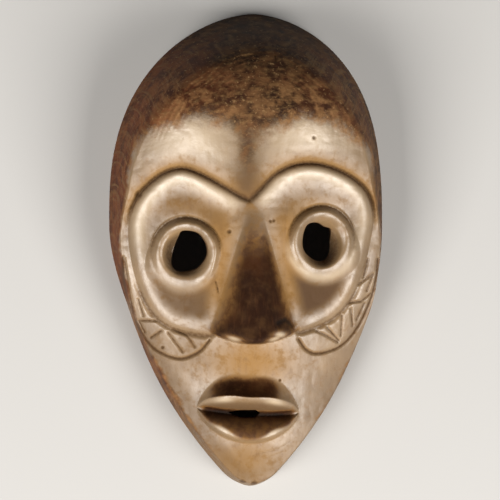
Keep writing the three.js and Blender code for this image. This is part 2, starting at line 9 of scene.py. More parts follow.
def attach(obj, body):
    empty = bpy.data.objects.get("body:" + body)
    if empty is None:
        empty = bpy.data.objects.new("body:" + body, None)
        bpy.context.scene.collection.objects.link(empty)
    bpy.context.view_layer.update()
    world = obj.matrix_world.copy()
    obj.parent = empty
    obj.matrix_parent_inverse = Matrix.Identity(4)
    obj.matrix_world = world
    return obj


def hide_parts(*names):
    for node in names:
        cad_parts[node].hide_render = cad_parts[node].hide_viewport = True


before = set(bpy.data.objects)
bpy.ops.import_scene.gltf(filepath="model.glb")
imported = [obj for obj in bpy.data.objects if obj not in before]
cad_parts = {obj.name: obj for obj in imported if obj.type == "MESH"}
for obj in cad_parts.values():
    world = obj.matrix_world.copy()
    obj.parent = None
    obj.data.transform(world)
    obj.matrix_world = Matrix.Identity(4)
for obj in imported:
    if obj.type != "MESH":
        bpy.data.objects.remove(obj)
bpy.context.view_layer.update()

# Sizes are millimetres, as in the part's source, and become metres where the mesh is made
MM = 0.001
SEED = 11
TINY = 1e-6
SLOPE_STEP = 0.01

# Driving dimensions
MASK_HEIGHT = 132
MASK_WIDTH = 76.6
RIM_WIDTH = 6.2
CHIN_RIM_WIDTH = 9.5
WALL_THICKNESS = 6.8
WIDEST_Y = 6

# Values that change along a line are written as stops: (position, value)
# A fade is (start, end), a name with AT is a bell's (centre, spread), and a spot is
# (strength, centre x, centre y, spread x, spread y). A random field is (depth, size of its
# spots, its number)

# Outline of the rim: a superellipse to the crown, a tapering oval to a blunt chin
CROWN_SQUARENESS = 2.8
CROWN_ROUNDNESS = 1.75
CHIN_SQUARENESS = 1.8
CHIN_TAPER = 0.88
CHIN_REACH = 0.96
CHIN_BLUNT_FROM = 0.94
CHIN_BLUNT_CURVE = 3
CHEEK_CUT = 0.8
CHEEK_CUT_AT = (-20, 16)

# Lean of the middle line to the right
CROWN_LEAN = 1.9
CROWN_LEAN_FROM_Y = 20
CROWN_LEAN_LENGTH = 45
CROWN_LEAN_CURVE = 1.5
LOWER_LEAN_ALONG = [(-55, 1.2), (-18, 0.9), (8, 0)]

OUTER_LOOP = {
    "half_width": MASK_WIDTH / 2,
    "crown": MASK_HEIGHT / 2,
    "chin": -MASK_HEIGHT / 2,
}
INNER_LOOP = {
    "half_width": MASK_WIDTH / 2 - RIM_WIDTH,
    "crown": MASK_HEIGHT / 2 - RIM_WIDTH,
    "chin": -MASK_HEIGHT / 2 + CHIN_RIM_WIDTH,
}

# Domed face that all the carving stands on
FOREHEAD_Y = 36
FOREHEAD_Z = 32.8
CROWN_DROP = 20
CROWN_CURVE = 2.2
CHIN_DROP = 20
CHIN_CURVE = 1.9
RIDGE_FALL = 0.16
RIDGE_RADIUS = 6
ROUNDNESS_ALONG = [(-45, 1.02), (0, 0.42)]
BUMP_X = 17.5
BUMP_Z = 2
BUMP_SPREAD = 11

# Side walls
STEEPNESS_ALONG = [(-34, 12), (-16, 24), (-6, 12), (18, 6), (60, 3.2)]
WALL_BLEND_ALONG = [(-6, 3.4), (10, 4.8), (46, 15)]
INNER_STEEPNESS = 2.6
INNER_BLEND = 7

# Brows: the forehead ends in a step and a groove, which fade out down the sides
BROW_STEP = 1.5
BROW_STEP_WIDTH = 1.9
BROW_STEP_REACH = 40
BROW_JOIN = 3
BROW_FROM_Y = [(4, 13.4), (20, 3)]
BROW_FADE = [(4, 2.4), (20, 11)]
BROW_GROOVE_DEPTH = 1
BROW_GROOVE_WIDTH = 0.85
GROOVE_FROM_Y = [(4, 10), (20, 3)]
GROOVE_FADE = [(4, 4), (20, 11)]
GROOVE_LEAST = 0.3
LOWER_GROOVE_ALONG = [(-14, 0.8), (-4, 0)]

# Eye zones: a rounded rim and a hollow dish inside the edge, a ring round each eye hole
# Rings and funnels are ellipses: (centre x, centre y, half width, half height). A crescent, the
# ring's painted highlight, is (share of the ring where it lies, strength); dish_shade, the dish's
# painted shade, is (strength above, below)
EDGE_SOFTNESS = 0.6
CHEEK_SOFTNESS = 2.5
RIM_Z = 0.85
RIM_AT = (2.2, 2.3)
RIM_SHARE_ABOVE = [(4, 0.25), (15, 1)]
RIM_SHARE_BELOW = [(12, 0), (26, 0.8)]
RIM_BELOW_TO_ABOVE = (-16, -6)
DISH_DEPTH = 1.3
DISH_FADE = (2.5, 13)
DISH_CORNER = 4
RING_Z = 2.2
RING_CREST = 0.79
RING_ROUNDNESS = 1.4
RING_INNER_FLANK = 0.32
RING_OUTER_END = [(-0.75, 1.3), (0.5, 1.03)]
RING_GROOVE_SHARE = 0.985
RING_GROOVE_DEPTH = 0.9
RING_GROOVE_ALONG = [(-0.75, 0), (0.5, 1)]
RING_GROOVE_NOSE_SIDE = [(0.3, 0), (0.9, 0.45)]
RING_GROOVE_INSIDE = 0.085
RING_GROOVE_OUTSIDE = 0.05
FUNNEL_SLOPE = 2.1
FUNNEL_SOFTNESS = 1.2
FUNNEL_DEPTH = 4.2
NOSE_SIDE_Z = 0.3
NOSE_SIDE_SPREAD = 1.6
NOSE_SIDE_ALONG = [(4, 1), (12, 0)]

LEFT_EYE = {
    "ring": (-18.1, -0.8, 9.5, 9.9),
    "funnel": (-18.1, -1, 6.5, 6.4),
    "dish_shade": (0.45, 1),
    "shade_from_ring": 0.95,
    "crescent": (0.94, 0.1),
    "edge": [
        (-0.9, 13.8), (-3.6, 15), (-8.6, 17.9), (-14.4, 21), (-19.2, 22.5),
        (-24, 21.3), (-28.2, 18.2), (-31.4, 14.4), (-33.6, 8.5), (-33.3, -0.5),
        (-30.8, -10.4), (-26.6, -18), (-20.8, -22), (-12.3, -23.6), (-10.4, -23.2),
    ],
    "cheek": [(-10.2, -19.5), (-9.7, -12), (-8.2, -3), (-5.6, 6)],
    "hole": [
        (-19, 5.3), (-14.9, 4.8), (-12.6, 2.1), (-12.1, -1), (-13.5, -3.7),
        (-15.7, -5.4), (-19.8, -5.9), (-21.8, -4), (-21.2, 0.1), (-20.1, 3.5),
    ],
    "band": [
        (-35.2, -2), (-34.8, -7), (-33.8, -13), (-31.2, -20.2), (-26.6, -27),
        (-19.8, -30), (-14.4, -28.2), (-11.4, -24.8),
    ],
    "strokes": [
        [(-22.6, -22.8), (-18.7, -28.1)],
        [(-21.2, -21.7), (-17.6, -23.4), (-15.4, -26.7)],
        [(-24.5, -22.3), (-27.2, -24.2)],
        [(-25.9, -19.5), (-30.5, -19.5), (-28.9, -22.8)],
        [(-30.8, -13.7), (-29.4, -18.1)],
        [(-34.7, -2.4), (-33.2, -11.5), (-31.9, -17.8)],
    ],
}
RIGHT_EYE = {
    "ring": (19.4, 2.6, 9.3, 9.7),
    "funnel": (19.3, 1.2, 5.9, 6.6),
    "dish_shade": (0.3, 1.35),
    "shade_from_ring": 1.08,
    "crescent": (1.04, 0.75),
    "edge": [
        (-0.9, 13.8), (1.3, 15.9), (6.2, 20.8), (11.6, 23.4), (17.2, 23.8),
        (22.8, 22.5), (28.6, 19.6), (32.6, 15.6), (34.3, 9.5), (33.2, 2),
        (31.2, -6.5), (27.8, -14.2), (22.4, -19.4), (14.4, -22.6), (13, -22.4),
    ],
    "cheek": [(12.6, -19), (10.8, -11.5), (8.2, -2.5), (6, 5.5)],
    "hole": [
        (15.4, 7.1), (18.1, 7.6), (20.3, 6.5), (22.1, 5.7), (22.1, 2.1), (21.9, -0.7),
        (20.8, -2.6), (18.9, -3.1), (16.7, -2.3), (14.5, -0.4), (13.9, 1.8), (14.2, 4.8),
    ],
    "band": [
        (35.6, -2.5), (35.2, -7.5), (33.8, -13.6), (30.4, -21.2), (25.6, -26.5),
        (19.2, -28.6), (15.6, -27.6), (13.2, -24.6),
    ],
    "strokes": [
        [(18.3, -22.3), (21.5, -23.8), (24.5, -25.5)],
        [(21.4, -21.4), (24.8, -25)],
        [(25.6, -18.1), (25.4, -23.6)],
        [(28.1, -16.2), (28.7, -20.9)],
        [(32, -14.8), (29.9, -19.2)],
        [(27.8, -14.5), (31, -14.2), (33.8, -12)],
        [(30.1, -9.5), (34.4, -6.6), (32.6, -11.2)],
        [(31.5, -7.6), (32.6, -2.6)],
    ],
}
EYE_SIDES = [LEFT_EYE, RIGHT_EYE]

# Chip-carved bands below the eye zones
BAND_WIDTH = 1.4
BAND_DEPTH = 0.6
STROKE_WIDTH = 1.2
STROKE_DEPTH = 0.45

# Nose wedge
NOSE_X = 0.5
NOSE_ROOT_Y = 12
NOSE_START = 0.2
NOSE_BASE_Y = -26
NOSE_WING_RISE = 2.8
NOSE_WING_X = 11
NOSE_ROOT_HALF_WIDTH = 1.8
NOSE_FLARE = 0.295
NOSE_Z = 11.6
NOSE_SIDE_CURVE = (2.8, 1.35)
NOSE_TIP_ROUND = 1.2
NOSE_UNDER_CURVE = 2.2
NOSE_UNDER_STEEPNESS = 0.6
NOSTRIL_AT = (5.6, 2.6)
NOSTRIL_ROUND = 2.4

# Mouth
MOUTH_X = -0.4
MOUTH_Y = -45
MOUTH_HALF_WIDTH = 14
MOUTH_CORNER_RISE = 0.9
MOUTH_TILT = -0.05
UPPER_LIP_HEIGHT = 4.9
UPPER_LIP_Z = 5.6
UPPER_LIP_CURVE = (2.4, 0.6)
UPPER_LIP_Z_CURVE = (3, 0.7)
UPPER_LIP_FALL = 2.2
LIP_BOW = 0.4
LIP_BOW_SPREAD = 0.3
UPPER_SLOPE_HEIGHT = 6.4
UPPER_SLOPE_OUTLINE = (3, 0.9)
UPPER_SLOPE_CURVE = 1.7
LOWER_LIP_HEIGHT = 7.2
LOWER_LIP_CURVE = (2, 0.72)
LOWER_LIP_Z = 4.8
LOWER_LIP_Z_CURVE = (2.6, 0.7)
LIP_GROOVE_DEPTH = 1.2
LIP_GROOVE_HEIGHT = 0.7
LIP_GROOVE_REACH = 0.93
LIP_GROOVE_CURVE = (4, 1)
LEAST_LIP_RISE = 0.3
LIP_EDGE = 1.5
MOUTH_SLOT = [
    (-6.2, -44.8), (-3.2, -44.2), (1.4, -44.1), (2.9, -45), (1.6, -46.4), (-2.4, -46.4),
]

# Dark crown and side walls: the hairline, the cleft between the bumps, the walls' colour
HAIRLINE_Y = 36.6
HAIRLINE_DIP = 4.3
HAIRLINE_DIP_AT = (0.5, 8)
HAIRLINE_FALL = 13
HAIRLINE_FALL_X = 36
HAIRLINE_FALL_CURVE = 4
HAIRLINE_FADE = (-6, 5.5)
RAGGED_FIELD = (0.9, 3.4, 5)
FINE_RAGGED_FIELD = (0.5, 1.1, 6)
# The dark strip down the cleft between the bumps is partly patina, partly painted shade
CLEFT_AT = (-1.8, 3)
CLEFT_ALONG = [(17, 0), (28, 0.66)]
WALL_REACH_ALONG = [(-40, 2.2), (-22, 1), (0, 1.8), (20, 4)]
WALL_FADE = (0.4, 1.4)
WALL_RAGGED = 0.4
WALL_DARK_ALONG = [(-62, 0.1), (-34, 0.5), (-18, 0.3), (-6, 0.8), (4, 1)]
WALL_DARK_ACROSS = [(-12, 1.7), (12, 1)]

# Marks of use and of the knife: pits are (x, y, radius, depth), nicks (line, width, depth),
# and the knob is an ellipse
PITS = [
    (-6.4, 5.1, 0.5, 0.45),
    (4.9, 7.9, 0.4, 0.12),
    (5.8, 8.05, 0.4, 0.12),
    (16.8, 30.8, 0.45, 0.3),
    (-30.9, 15.3, 0.9, 0.4),
    (-1.7, -64.6, 0.7, 0.9),
    (1.6, -64.9, 0.8, 1),
    (-24, -27, 0.4, 0.2),
    (8.2, -36, 0.35, 0.2),
]
NICKS = [
    ([(7, -20), (9.2, -19.2), (11.2, -20.8)], 3, 0.6),
    ([(6.4, 53.4), (6.6, 51.6)], 0.6, 0.35),
    ([(-3.9, 34.4), (-3.7, 31.9)], 0.5, 0.15),
    ([(2, -56.3), (8, -55.2), (11.5, -53)], 0.7, 0.12),
    ([(4, -58), (9.5, -56)], 0.6, 0.1),
    ([(-9.9, -8.6), (-9.2, -11.5)], 0.9, 0.3),
]
NOSTRIL_KNOB = (7.6, -23.2, 2.4, 1.3)
NOSTRIL_KNOB_Z = 0.6
WEAR_FROM_RIM = 1
FACET_FIELD = (0.09, 7, 1)
SMALL_FACET_FIELD = (0.11, 2.6, 9)
RIPPLE_FIELD = (0.02, 0.9, 2)
RIPPLE_STRETCH = 3
CROWN_CUT_DEPTH = 0.11
CROWN_CUT_SPACING = 1.5
CROWN_CUT_FADE = (14, 24)
CUT_PATH_FIELD = (1, 7, 3)
CUT_DEPTH_FIELD = (1, 3.5, 4)
GOUGE_DEPTH = 0.32
GOUGE_WIDTH = 4.6
GOUGE_LENGTH = 10.5
GOUGE_END_SHARE = 0.7
GOUGE_FROM_RIM = 3
GOUGE_ROW_SHIFT = 0.37
GOUGE_ROW_FIELD = (0.25, 14, 7)
GOUGE_SIDE_FIELD = (0.3, 9, 8)

# Fineness of the visible mesh
GRID_ACROSS = 440
GRID_ALONG = 720
INNER_SHARE = 4
CURVE_STEPS = 6
TRIANGLE_LIMIT = 185000
SHARP_ANGLE = math.radians(48)

# Photograph: its scale and where the mask stands in it
PHOTO_PIXELS = 500
MM_PER_PIXEL = 0.279
MASK_CENTRE_PIXEL = 246.9
CAMERA_DISTANCE = 1500
CAMERA_TURN = math.radians(3.5)
CAMERA_AIM_Z = 5
SENSOR_WIDTH = 36


def ease(low, high, value):
    t = np.clip((value - low) / (high - low), 0, 1)
    return t * t * (3 - 2 * t)


def lerp(a, b, share):
    return a + (b - a) * share


def value_at(stops, position):
    """Value at a position between stops, eased from each stop to the next."""
    value = stops[0][1]
    for (start, _), (end, after) in zip(stops, stops[1:]):
        value = lerp(value, after, ease(start, end, position))
    return value


def bell(value, centre, spread):
    return np.exp(-((value - centre) / spread) ** 2)


def arch(side, curve):
    """Arch from 1 in the middle to 0 at the end, with the two exponents of its curve."""
    inner, outer = curve
    return (1 - np.minimum(side, 1) ** inner) ** outer


def smooth_min(a, b, blend):
    share = np.clip(0.5 + 0.5 * (b - a) / blend, 0, 1)
    return lerp(b, a, share) - blend * share * (1 - share)


def spot_share(x, y, spot):
    strength, centre_x, centre_y, spread_x, spread_y = spot
    return strength * bell(x, centre_x, spread_x) * bell(y, centre_y, spread_y)


def soft_noise(x, y, field):
    """Smooth random field that swings to both sides of 0."""
    depth, size, number = field
    cells = 128
    table = np.random.default_rng(SEED + number).uniform(-1, 1, (cells, cells))
    u, v = x / size, y / size
    i, j = np.floor(u).astype(int), np.floor(v).astype(int)
    s, t = ease(0, 1, u - i), ease(0, 1, v - j)
    low = lerp(table[i % cells, j % cells], table[(i + 1) % cells, j % cells], s)
    high = lerp(table[i % cells, (j + 1) % cells], table[(i + 1) % cells, (j + 1) % cells], s)
    return depth * lerp(low, high, t)


# Outline of a loop on the back plane

def loop_half_width(y, loop):
    up = np.clip((y - WIDEST_Y) / (loop["crown"] - WIDEST_Y), 0, 1)
    top = (1 - up ** CROWN_SQUARENESS) ** (1 / CROWN_ROUNDNESS)
    down = np.clip((WIDEST_Y - y) / (WIDEST_Y - loop["chin"]), 0, 1)
    taper = (1 - (CHIN_REACH * down) ** CHIN_SQUARENESS) ** CHIN_TAPER
    blunt = np.clip((down - CHIN_BLUNT_FROM) / (1 - CHIN_BLUNT_FROM), 0, 1)
    bottom = taper * np.sqrt(1 - blunt ** CHIN_BLUNT_CURVE)
    width = loop["half_width"] * np.where(y > WIDEST_Y, top, bottom)
    return np.maximum(width - CHEEK_CUT * bell(y, *CHEEK_CUT_AT), 0)


def middle_x(y):
    """The middle line leans a little to the right at the crown and below the eyes."""
    crown = np.clip((y - CROWN_LEAN_FROM_Y) / CROWN_LEAN_LENGTH, 0, 1)
    return CROWN_LEAN * crown ** CROWN_LEAN_CURVE + value_at(LOWER_LEAN_ALONG, y)


def loop_middle(loop):
    """The y of a loop's middle, and half its length."""
    return (loop["crown"] + loop["chin"]) / 2, (loop["crown"] - loop["chin"]) / 2


def disc_to_plan(u, v, loop):
    """A point of the unit disc stands for a point inside a loop, u across and v along."""
    middle, half = loop_middle(loop)
    y = middle + half * v + (WIDEST_Y - middle) * (1 - v * v)
    across = np.sqrt(np.maximum(1 - v * v, TINY))
    return middle_x(y) + u / across * loop_half_width(y, loop), y


def disc_radius(x, y, loop):
    """0 at the disc's centre, 1 on the loop: the way back from disc_to_plan."""
    middle, half = loop_middle(loop)
    lift = WIDEST_Y - middle
    root = np.sqrt(np.maximum(half * half - 4 * lift * (y - middle - lift), 0))
    v = (half - root) / (2 * lift)
    width = np.maximum(loop_half_width(y, loop), TINY)
    u = (x - middle_x(y)) / width * np.sqrt(np.maximum(1 - v * v, 0))
    return np.hypot(u, v)


def distance_to_loop(x, y, loop):
    step = SLOPE_STEP
    radius = disc_radius(x, y, loop)
    slope_x = disc_radius(x + step, y, loop) - disc_radius(x - step, y, loop)
    slope_y = disc_radius(x, y + step, loop) - disc_radius(x, y - step, loop)
    gradient = np.hypot(slope_x, slope_y) / (2 * step)
    return np.maximum(1 - radius, 0) / np.maximum(gradient, TINY)


# Curves through a few points, as short straight pieces

def curve_through(points, closed=False):
    given = np.array(points, float)
    if closed:
        padded = np.vstack([given[-1], given, given[0], given[1]])
    else:
        padded = np.vstack([2 * given[0] - given[1], given, 2 * given[-1] - given[-2]])
    line = []
    for p0, p1, p2, p3 in zip(padded, padded[1:], padded[2:], padded[3:]):
        for t in np.arange(CURVE_STEPS) / CURVE_STEPS:
            square = 2 * p0 - 5 * p1 + 4 * p2 - p3
            cube = 3 * p1 - p0 - 3 * p2 + p3
            line.append(p1 + 0.5 * ((p2 - p0) * t + square * t ** 2 + cube * t ** 3))
    if not closed:
        line.append(given[-1])
    return np.array(line)


def distance_to_line(x, y, line):
    nearest = np.full(x.shape, np.inf)
    for (ax, ay), (bx, by) in zip(line[:-1], line[1:]):
        dx, dy = bx - ax, by - ay
        t = np.clip(((x - ax) * dx + (y - ay) * dy) / (dx * dx + dy * dy), 0, 1)
        nearest = np.minimum(nearest, (x - ax - t * dx) ** 2 + (y - ay - t * dy) ** 2)
    return np.sqrt(nearest)


def distance_within(x, y, line, reach):
    """Distance to a line where it is under reach, and reach everywhere else."""
    line = np.asarray(line, float)
    low, high = line.min(0) - reach, line.max(0) + reach
    near = (x > low[0]) & (x < high[0]) & (y > low[1]) & (y < high[1])
    distance = np.full(x.shape, float(reach))
    distance[near] = np.minimum(distance_to_line(x[near], y[near], line), reach)
    return distance


def is_inside(x, y, line):
    inside = np.zeros(x.shape, bool)
    for (ax, ay), (bx, by) in zip(line[:-1], line[1:]):
        if ay != by:
            crossing = (bx - ax) * (y - ay) / (by - ay) + ax
            inside ^= ((ay > y) != (by > y)) & (x < crossing)
    return inside


# Carving

def dome_height(x, y):
    """Domed face without carving."""
    up = np.clip((y - FOREHEAD_Y) / (OUTER_LOOP["crown"] - FOREHEAD_Y), 0, 1)
    down = np.clip((FOREHEAD_Y - y) / (FOREHEAD_Y - OUTER_LOOP["chin"]), 0, 1)
    drop = CROWN_DROP * up ** CROWN_CURVE + CHIN_DROP * down ** CHIN_CURVE
    ridge = RIDGE_FALL * (np.hypot(x, RIDGE_RADIUS) - RIDGE_RADIUS)
    return FOREHEAD_Z - drop - ridge - value_at(ROUNDNESS_ALONG, y) * x * x / MASK_WIDTH


def forehead_bumps(x, y):
    sides = bell(x, -BUMP_X, BUMP_SPREAD) + bell(x, BUMP_X, BUMP_SPREAD)
    return BUMP_Z * sides * bell(y, FOREHEAD_Y, BUMP_SPREAD)


def cut_share(x, y, line, width):
    """1 at the bottom of a knife cut along a line, 0 beside it."""
    return np.clip(1 - distance_within(x, y, line, width) / (width / 2), 0, 1)


def ellipse_share(x, y, ellipse):
    """0 at an ellipse's centre, 1 on it."""
    centre_x, centre_y, half_width, half_height = ellipse
    return np.hypot((x - centre_x) / half_width, (y - centre_y) / half_height)


def measure_zones(x, y):
    """Where each point lies in the two eye zones."""
    zones = []
    for side in EYE_SIDES:
        start, end = side["edge"][0], side["edge"][-1]
        edge = curve_through(side["edge"])
        cheek = curve_through([end, *side["cheek"], start])
        zones.append({
            "to_edge": distance_to_line(x, y, edge),
            "to_cheek": distance_to_line(x, y, cheek),
            "band_cut": cut_share(x, y, curve_through(side["band"]), BAND_WIDTH),
            "inside": is_inside(x, y, np.vstack([edge, cheek[1:]])),
        })
    return zones


def off_zones(zones):
    """Distance to the nearer eye zone's edge, and whether a point is outside both zones."""
    left, right = zones
    return np.minimum(left["to_edge"], right["to_edge"]), ~(left["inside"] | right["inside"])


def brow_groove_share(x, y, zones):
    out = np.abs(x)
    notch = ease(0, 1, (y - value_at(GROOVE_FROM_Y, out)) / value_at(GROOVE_FADE, out))
    lower = value_at(LOWER_GROOVE_ALONG, y)
    near, _ = off_zones(zones)
    return bell(near, 0, BROW_GROOVE_WIDTH) * np.maximum(np.maximum(notch, lower), GROOVE_LEAST)


def brow_height(x, y, zones):
    left, right = zones
    out = np.abs(x)
    step = ease(0, 1, (y - value_at(BROW_FROM_Y, out)) / value_at(BROW_FADE, out))
    _, outside = off_zones(zones)
    away = np.maximum(smooth_min(left["to_edge"], right["to_edge"], BROW_JOIN), 0) * outside
    proud = BROW_STEP * step * (1 - np.exp(-away / BROW_STEP_WIDTH))
    proud = proud * np.exp(-away / BROW_STEP_REACH)
    return proud - BROW_GROOVE_DEPTH * brow_groove_share(x, y, zones)


def rim_share(x, y, zone):
    """1 on the top of the goggle rim, less to both sides of it."""
    above = value_at(RIM_SHARE_ABOVE, np.abs(x))
    below = value_at(RIM_SHARE_BELOW, np.abs(x))
    strength = lerp(below, above, ease(*RIM_BELOW_TO_ABOVE, y))
    return strength * bell(zone["to_edge"], *RIM_AT)


def ring_level(y, side):
    """-1 at the bottom of a ring, 1 at its top."""
    _, centre_y, _, half_height = side["ring"]
    return (y - centre_y) / half_height


def ring_groove_share(x, y, side):
    share = ellipse_share(x, y, side["ring"])
    centre_x, _, half_width, _ = side["ring"]
    to_nose = (x - centre_x) / half_width * -np.sign(centre_x)
    spread = np.where(share < RING_GROOVE_SHARE, RING_GROOVE_INSIDE, RING_GROOVE_OUTSIDE)
    above = value_at(RING_GROOVE_ALONG, ring_level(y, side))
    strength = np.maximum(above, value_at(RING_GROOVE_NOSE_SIDE, to_nose))
    return strength * bell(share, RING_GROOVE_SHARE, spread)


def eye_height(x, y, zone, side):
    """Rounded rim, hollow dish, ring and funnel inside one eye zone."""
    share = ellipse_share(x, y, side["ring"])
    rim = rim_share(x, y, zone)
    inward = smooth_min(zone["to_edge"], zone["to_cheek"], DISH_CORNER)
    away = share - RING_CREST
    outer_flank = value_at(RING_OUTER_END, ring_level(y, side)) - RING_CREST
    flank = np.where(away > 0, away / outer_flank, away / -RING_INNER_FLANK)
    funnel = np.maximum(1 - ellipse_share(x, y, side["funnel"]), 0) * side["funnel"][2]
    funnel_z = FUNNEL_SLOPE * funnel ** 2 / (funnel + FUNNEL_SOFTNESS)
    height = RIM_Z * rim
    height -= DISH_DEPTH * ease(*DISH_FADE, inward)
    height += RING_Z * (1 - np.clip(flank, 0, 1) ** 2) ** RING_ROUNDNESS
    height -= RING_GROOVE_DEPTH * ring_groove_share(x, y, side)
    return height - np.minimum(funnel_z, FUNNEL_DEPTH)


def band_height(x, y, zone, side):
    """Two arcs and the slanting strokes between them."""
    height = -BAND_DEPTH * zone["band_cut"]
    for stroke in side["strokes"]:
        cut = -STROKE_DEPTH * cut_share(x, y, stroke, STROKE_WIDTH)
        height = np.minimum(height, cut)
    return height


def nose_lines(x, y):
    """Distance from the nose's middle, the y of its base there, and its half width at y."""
    out = np.abs(x - NOSE_X)
    base = NOSE_BASE_Y + NOSE_WING_RISE * (out / NOSE_WING_X) ** 2
    half_width = NOSE_ROOT_HALF_WIDTH + NOSE_FLARE * np.maximum(NOSE_ROOT_Y - y, 0)
    return out, base, half_width


def nose_height(x, y):
    out, base, half_width = nose_lines(x, y)
    along = np.clip((NOSE_ROOT_Y - y) / (NOSE_ROOT_Y - NOSE_BASE_Y), 0, 1)
    ridge = along ** 2 / (along + NOSE_START) * (1 + NOSE_START)
    round_part = NOSE_TIP_ROUND + NOSTRIL_ROUND * bell(out, *NOSTRIL_AT)
    under = np.clip((base + round_part - y) / round_part, 0, 1)
    underside = (1 - under ** NOSE_UNDER_CURVE) ** NOSE_UNDER_STEEPNESS
    height = NOSE_Z * ridge * arch(out / half_width, NOSE_SIDE_CURVE) * underside
    return np.where((y > NOSE_ROOT_Y) | (y < base), 0, height)


def mouth_lines(x):
    """Heights in plan of the mouth's edges at x, with how far out to the corner x is."""
    share = (x - MOUTH_X) / MOUTH_HALF_WIDTH
    side = np.minimum(np.abs(share), 1)
    line = MOUTH_Y + MOUTH_CORNER_RISE * side ** 2 + MOUTH_TILT * (x - MOUTH_X)
    bow = LIP_BOW * bell(share, 0, LIP_BOW_SPREAD)
    upper_edge = line + UPPER_LIP_HEIGHT * arch(side, UPPER_LIP_CURVE) - bow
    slope_top = upper_edge + UPPER_SLOPE_HEIGHT * arch(side, UPPER_SLOPE_OUTLINE)
    lower_edge = line - LOWER_LIP_HEIGHT * arch(side, LOWER_LIP_CURVE)
    return side, line, upper_edge, slope_top, lower_edge


def upper_slope_climb(y, slope_top, upper_edge):
    """0 at the top of the slope above the mouth, 1 at the upper lip's edge."""
    return np.clip((slope_top - y) / np.maximum(slope_top - upper_edge, TINY), 0, 1)


def mouth_height(x, y):
    side, line, upper_edge, slope_top, lower_edge = mouth_lines(x)
    upper_z = UPPER_LIP_Z * arch(side, UPPER_LIP_Z_CURVE)
    lower_z = LOWER_LIP_Z * arch(side, LOWER_LIP_Z_CURVE)
    slot_z = -LIP_GROOVE_DEPTH * arch(side / LIP_GROOVE_REACH, LIP_GROOVE_CURVE)
    start = line - LIP_GROOVE_HEIGHT
    rise = np.clip((start - y) / np.maximum(start - lower_edge, LEAST_LIP_RISE), 0, 1)
    inner_lip = lerp(slot_z, lower_z, np.sin(rise * np.pi / 2))
    fall = np.clip((upper_edge - y) / np.maximum(upper_edge - line, TINY), 0, 1)
    climb = upper_slope_climb(y, slope_top, upper_edge)
    height = lower_z * (1 - ease(0, LIP_EDGE, lower_edge - y))
    height = np.where(y > lower_edge, inner_lip, height)
    height = np.where(y > line, lerp(slot_z, upper_z, 1 - fall ** UPPER_LIP_FALL), height)
    height = np.where(y > upper_edge, upper_z * climb ** UPPER_SLOPE_CURVE, height)
    return np.where((y > slope_top) | (side >= 1), 0, height)


def crown_cut_height(x, y):
    """Shallow cuts that follow the edge of the crown."""
    inward = distance_to_loop(x, y, OUTER_LOOP)
    path = inward / CROWN_CUT_SPACING + soft_noise(x, y, CUT_PATH_FIELD)
    crown = hair_share(x, y) * (1 - ease(*CROWN_CUT_FADE, inward))
    strength = 1 + soft_noise(x, y, CUT_DEPTH_FIELD)
    return -CROWN_CUT_DEPTH * crown * np.abs(np.sin(path * np.pi)) * strength


def wear_height(x, y):
    """Knife facets, fine ripples, cuts on the crown, pits, nicks and the nostril's knob."""
    height = np.abs(soft_noise(x, y, FACET_FIELD)) + np.abs(soft_noise(x, y, SMALL_FACET_FIELD))
    height += soft_noise(x, y / RIPPLE_STRETCH, RIPPLE_FIELD)
    height += crown_cut_height(x, y)
    for pit_x, pit_y, radius, depth in PITS:
        height -= depth * bell(np.hypot(x - pit_x, y - pit_y), 0, radius)
    for line, width, depth in NICKS:
        height -= depth * cut_share(x, y, line, width)
    return height + NOSTRIL_KNOB_Z * knob_share(x, y)


def knob_share(x, y):
    """1 in the middle of the right nostril's knob."""
    return bell(ellipse_share(x, y, NOSTRIL_KNOB), 0, 1)


def hairline_y(x):
    """The hairline dips in the middle and falls towards both sides."""
    fall = HAIRLINE_FALL * (np.abs(x) / HAIRLINE_FALL_X) ** HAIRLINE_FALL_CURVE
    return HAIRLINE_Y - HAIRLINE_DIP * bell(x, *HAIRLINE_DIP_AT) - fall


def hair_share(x, y):
    """1 on the dark crown and the side walls, 0 on the face."""
    ragged = soft_noise(x, y, RAGGED_FIELD) + soft_noise(x, y, FINE_RAGGED_FIELD)
    above = ease(*HAIRLINE_FADE, y - hairline_y(x) + ragged)
    # Down the cleft between the bumps the dark is partly patina, partly painted shade
    cleft = bell(x, *CLEFT_AT) * value_at(CLEFT_ALONG, y)
    from_rim = distance_to_loop(x, y, OUTER_LOOP) + WALL_RAGGED * ragged
    wall = 1 - ease(*WALL_FADE, from_rim / value_at(WALL_REACH_ALONG, y))
    wall = wall * value_at(WALL_DARK_ALONG, y) * value_at(WALL_DARK_ACROSS, x)
    return np.maximum.reduce([above, cleft, np.minimum(wall, 1)])


def face_height(x, y):
    zones = measure_zones(x, y)
    height = dome_height(x, y) + forehead_bumps(x, y) + brow_height(x, y, zones)
    for zone, side in zip(zones, EYE_SIDES):
        fade = ease(0, EDGE_SOFTNESS, zone["to_edge"]) * ease(0, CHEEK_SOFTNESS, zone["to_cheek"])
        strip = bell(zone["to_cheek"], 0, NOSE_SIDE_SPREAD) * value_at(NOSE_SIDE_ALONG, y)
        height += eye_height(x, y, zone, side) * fade * zone["inside"]
        height += NOSE_SIDE_Z * strip + band_height(x, y, zone, side)
    return height + nose_height(x, y) + mouth_height(x, y)


def outer_height(x, y):
    """The carved face rounds over into steep side walls."""
    away = distance_to_loop(x, y, OUTER_LOOP)
    wall = value_at(STEEPNESS_ALONG, y) * away
    carved = smooth_min(face_height(x, y), wall, value_at(WALL_BLEND_ALONG, y))
    return carved + wear_height(x, y) * ease(0, WEAR_FROM_RIM, away)


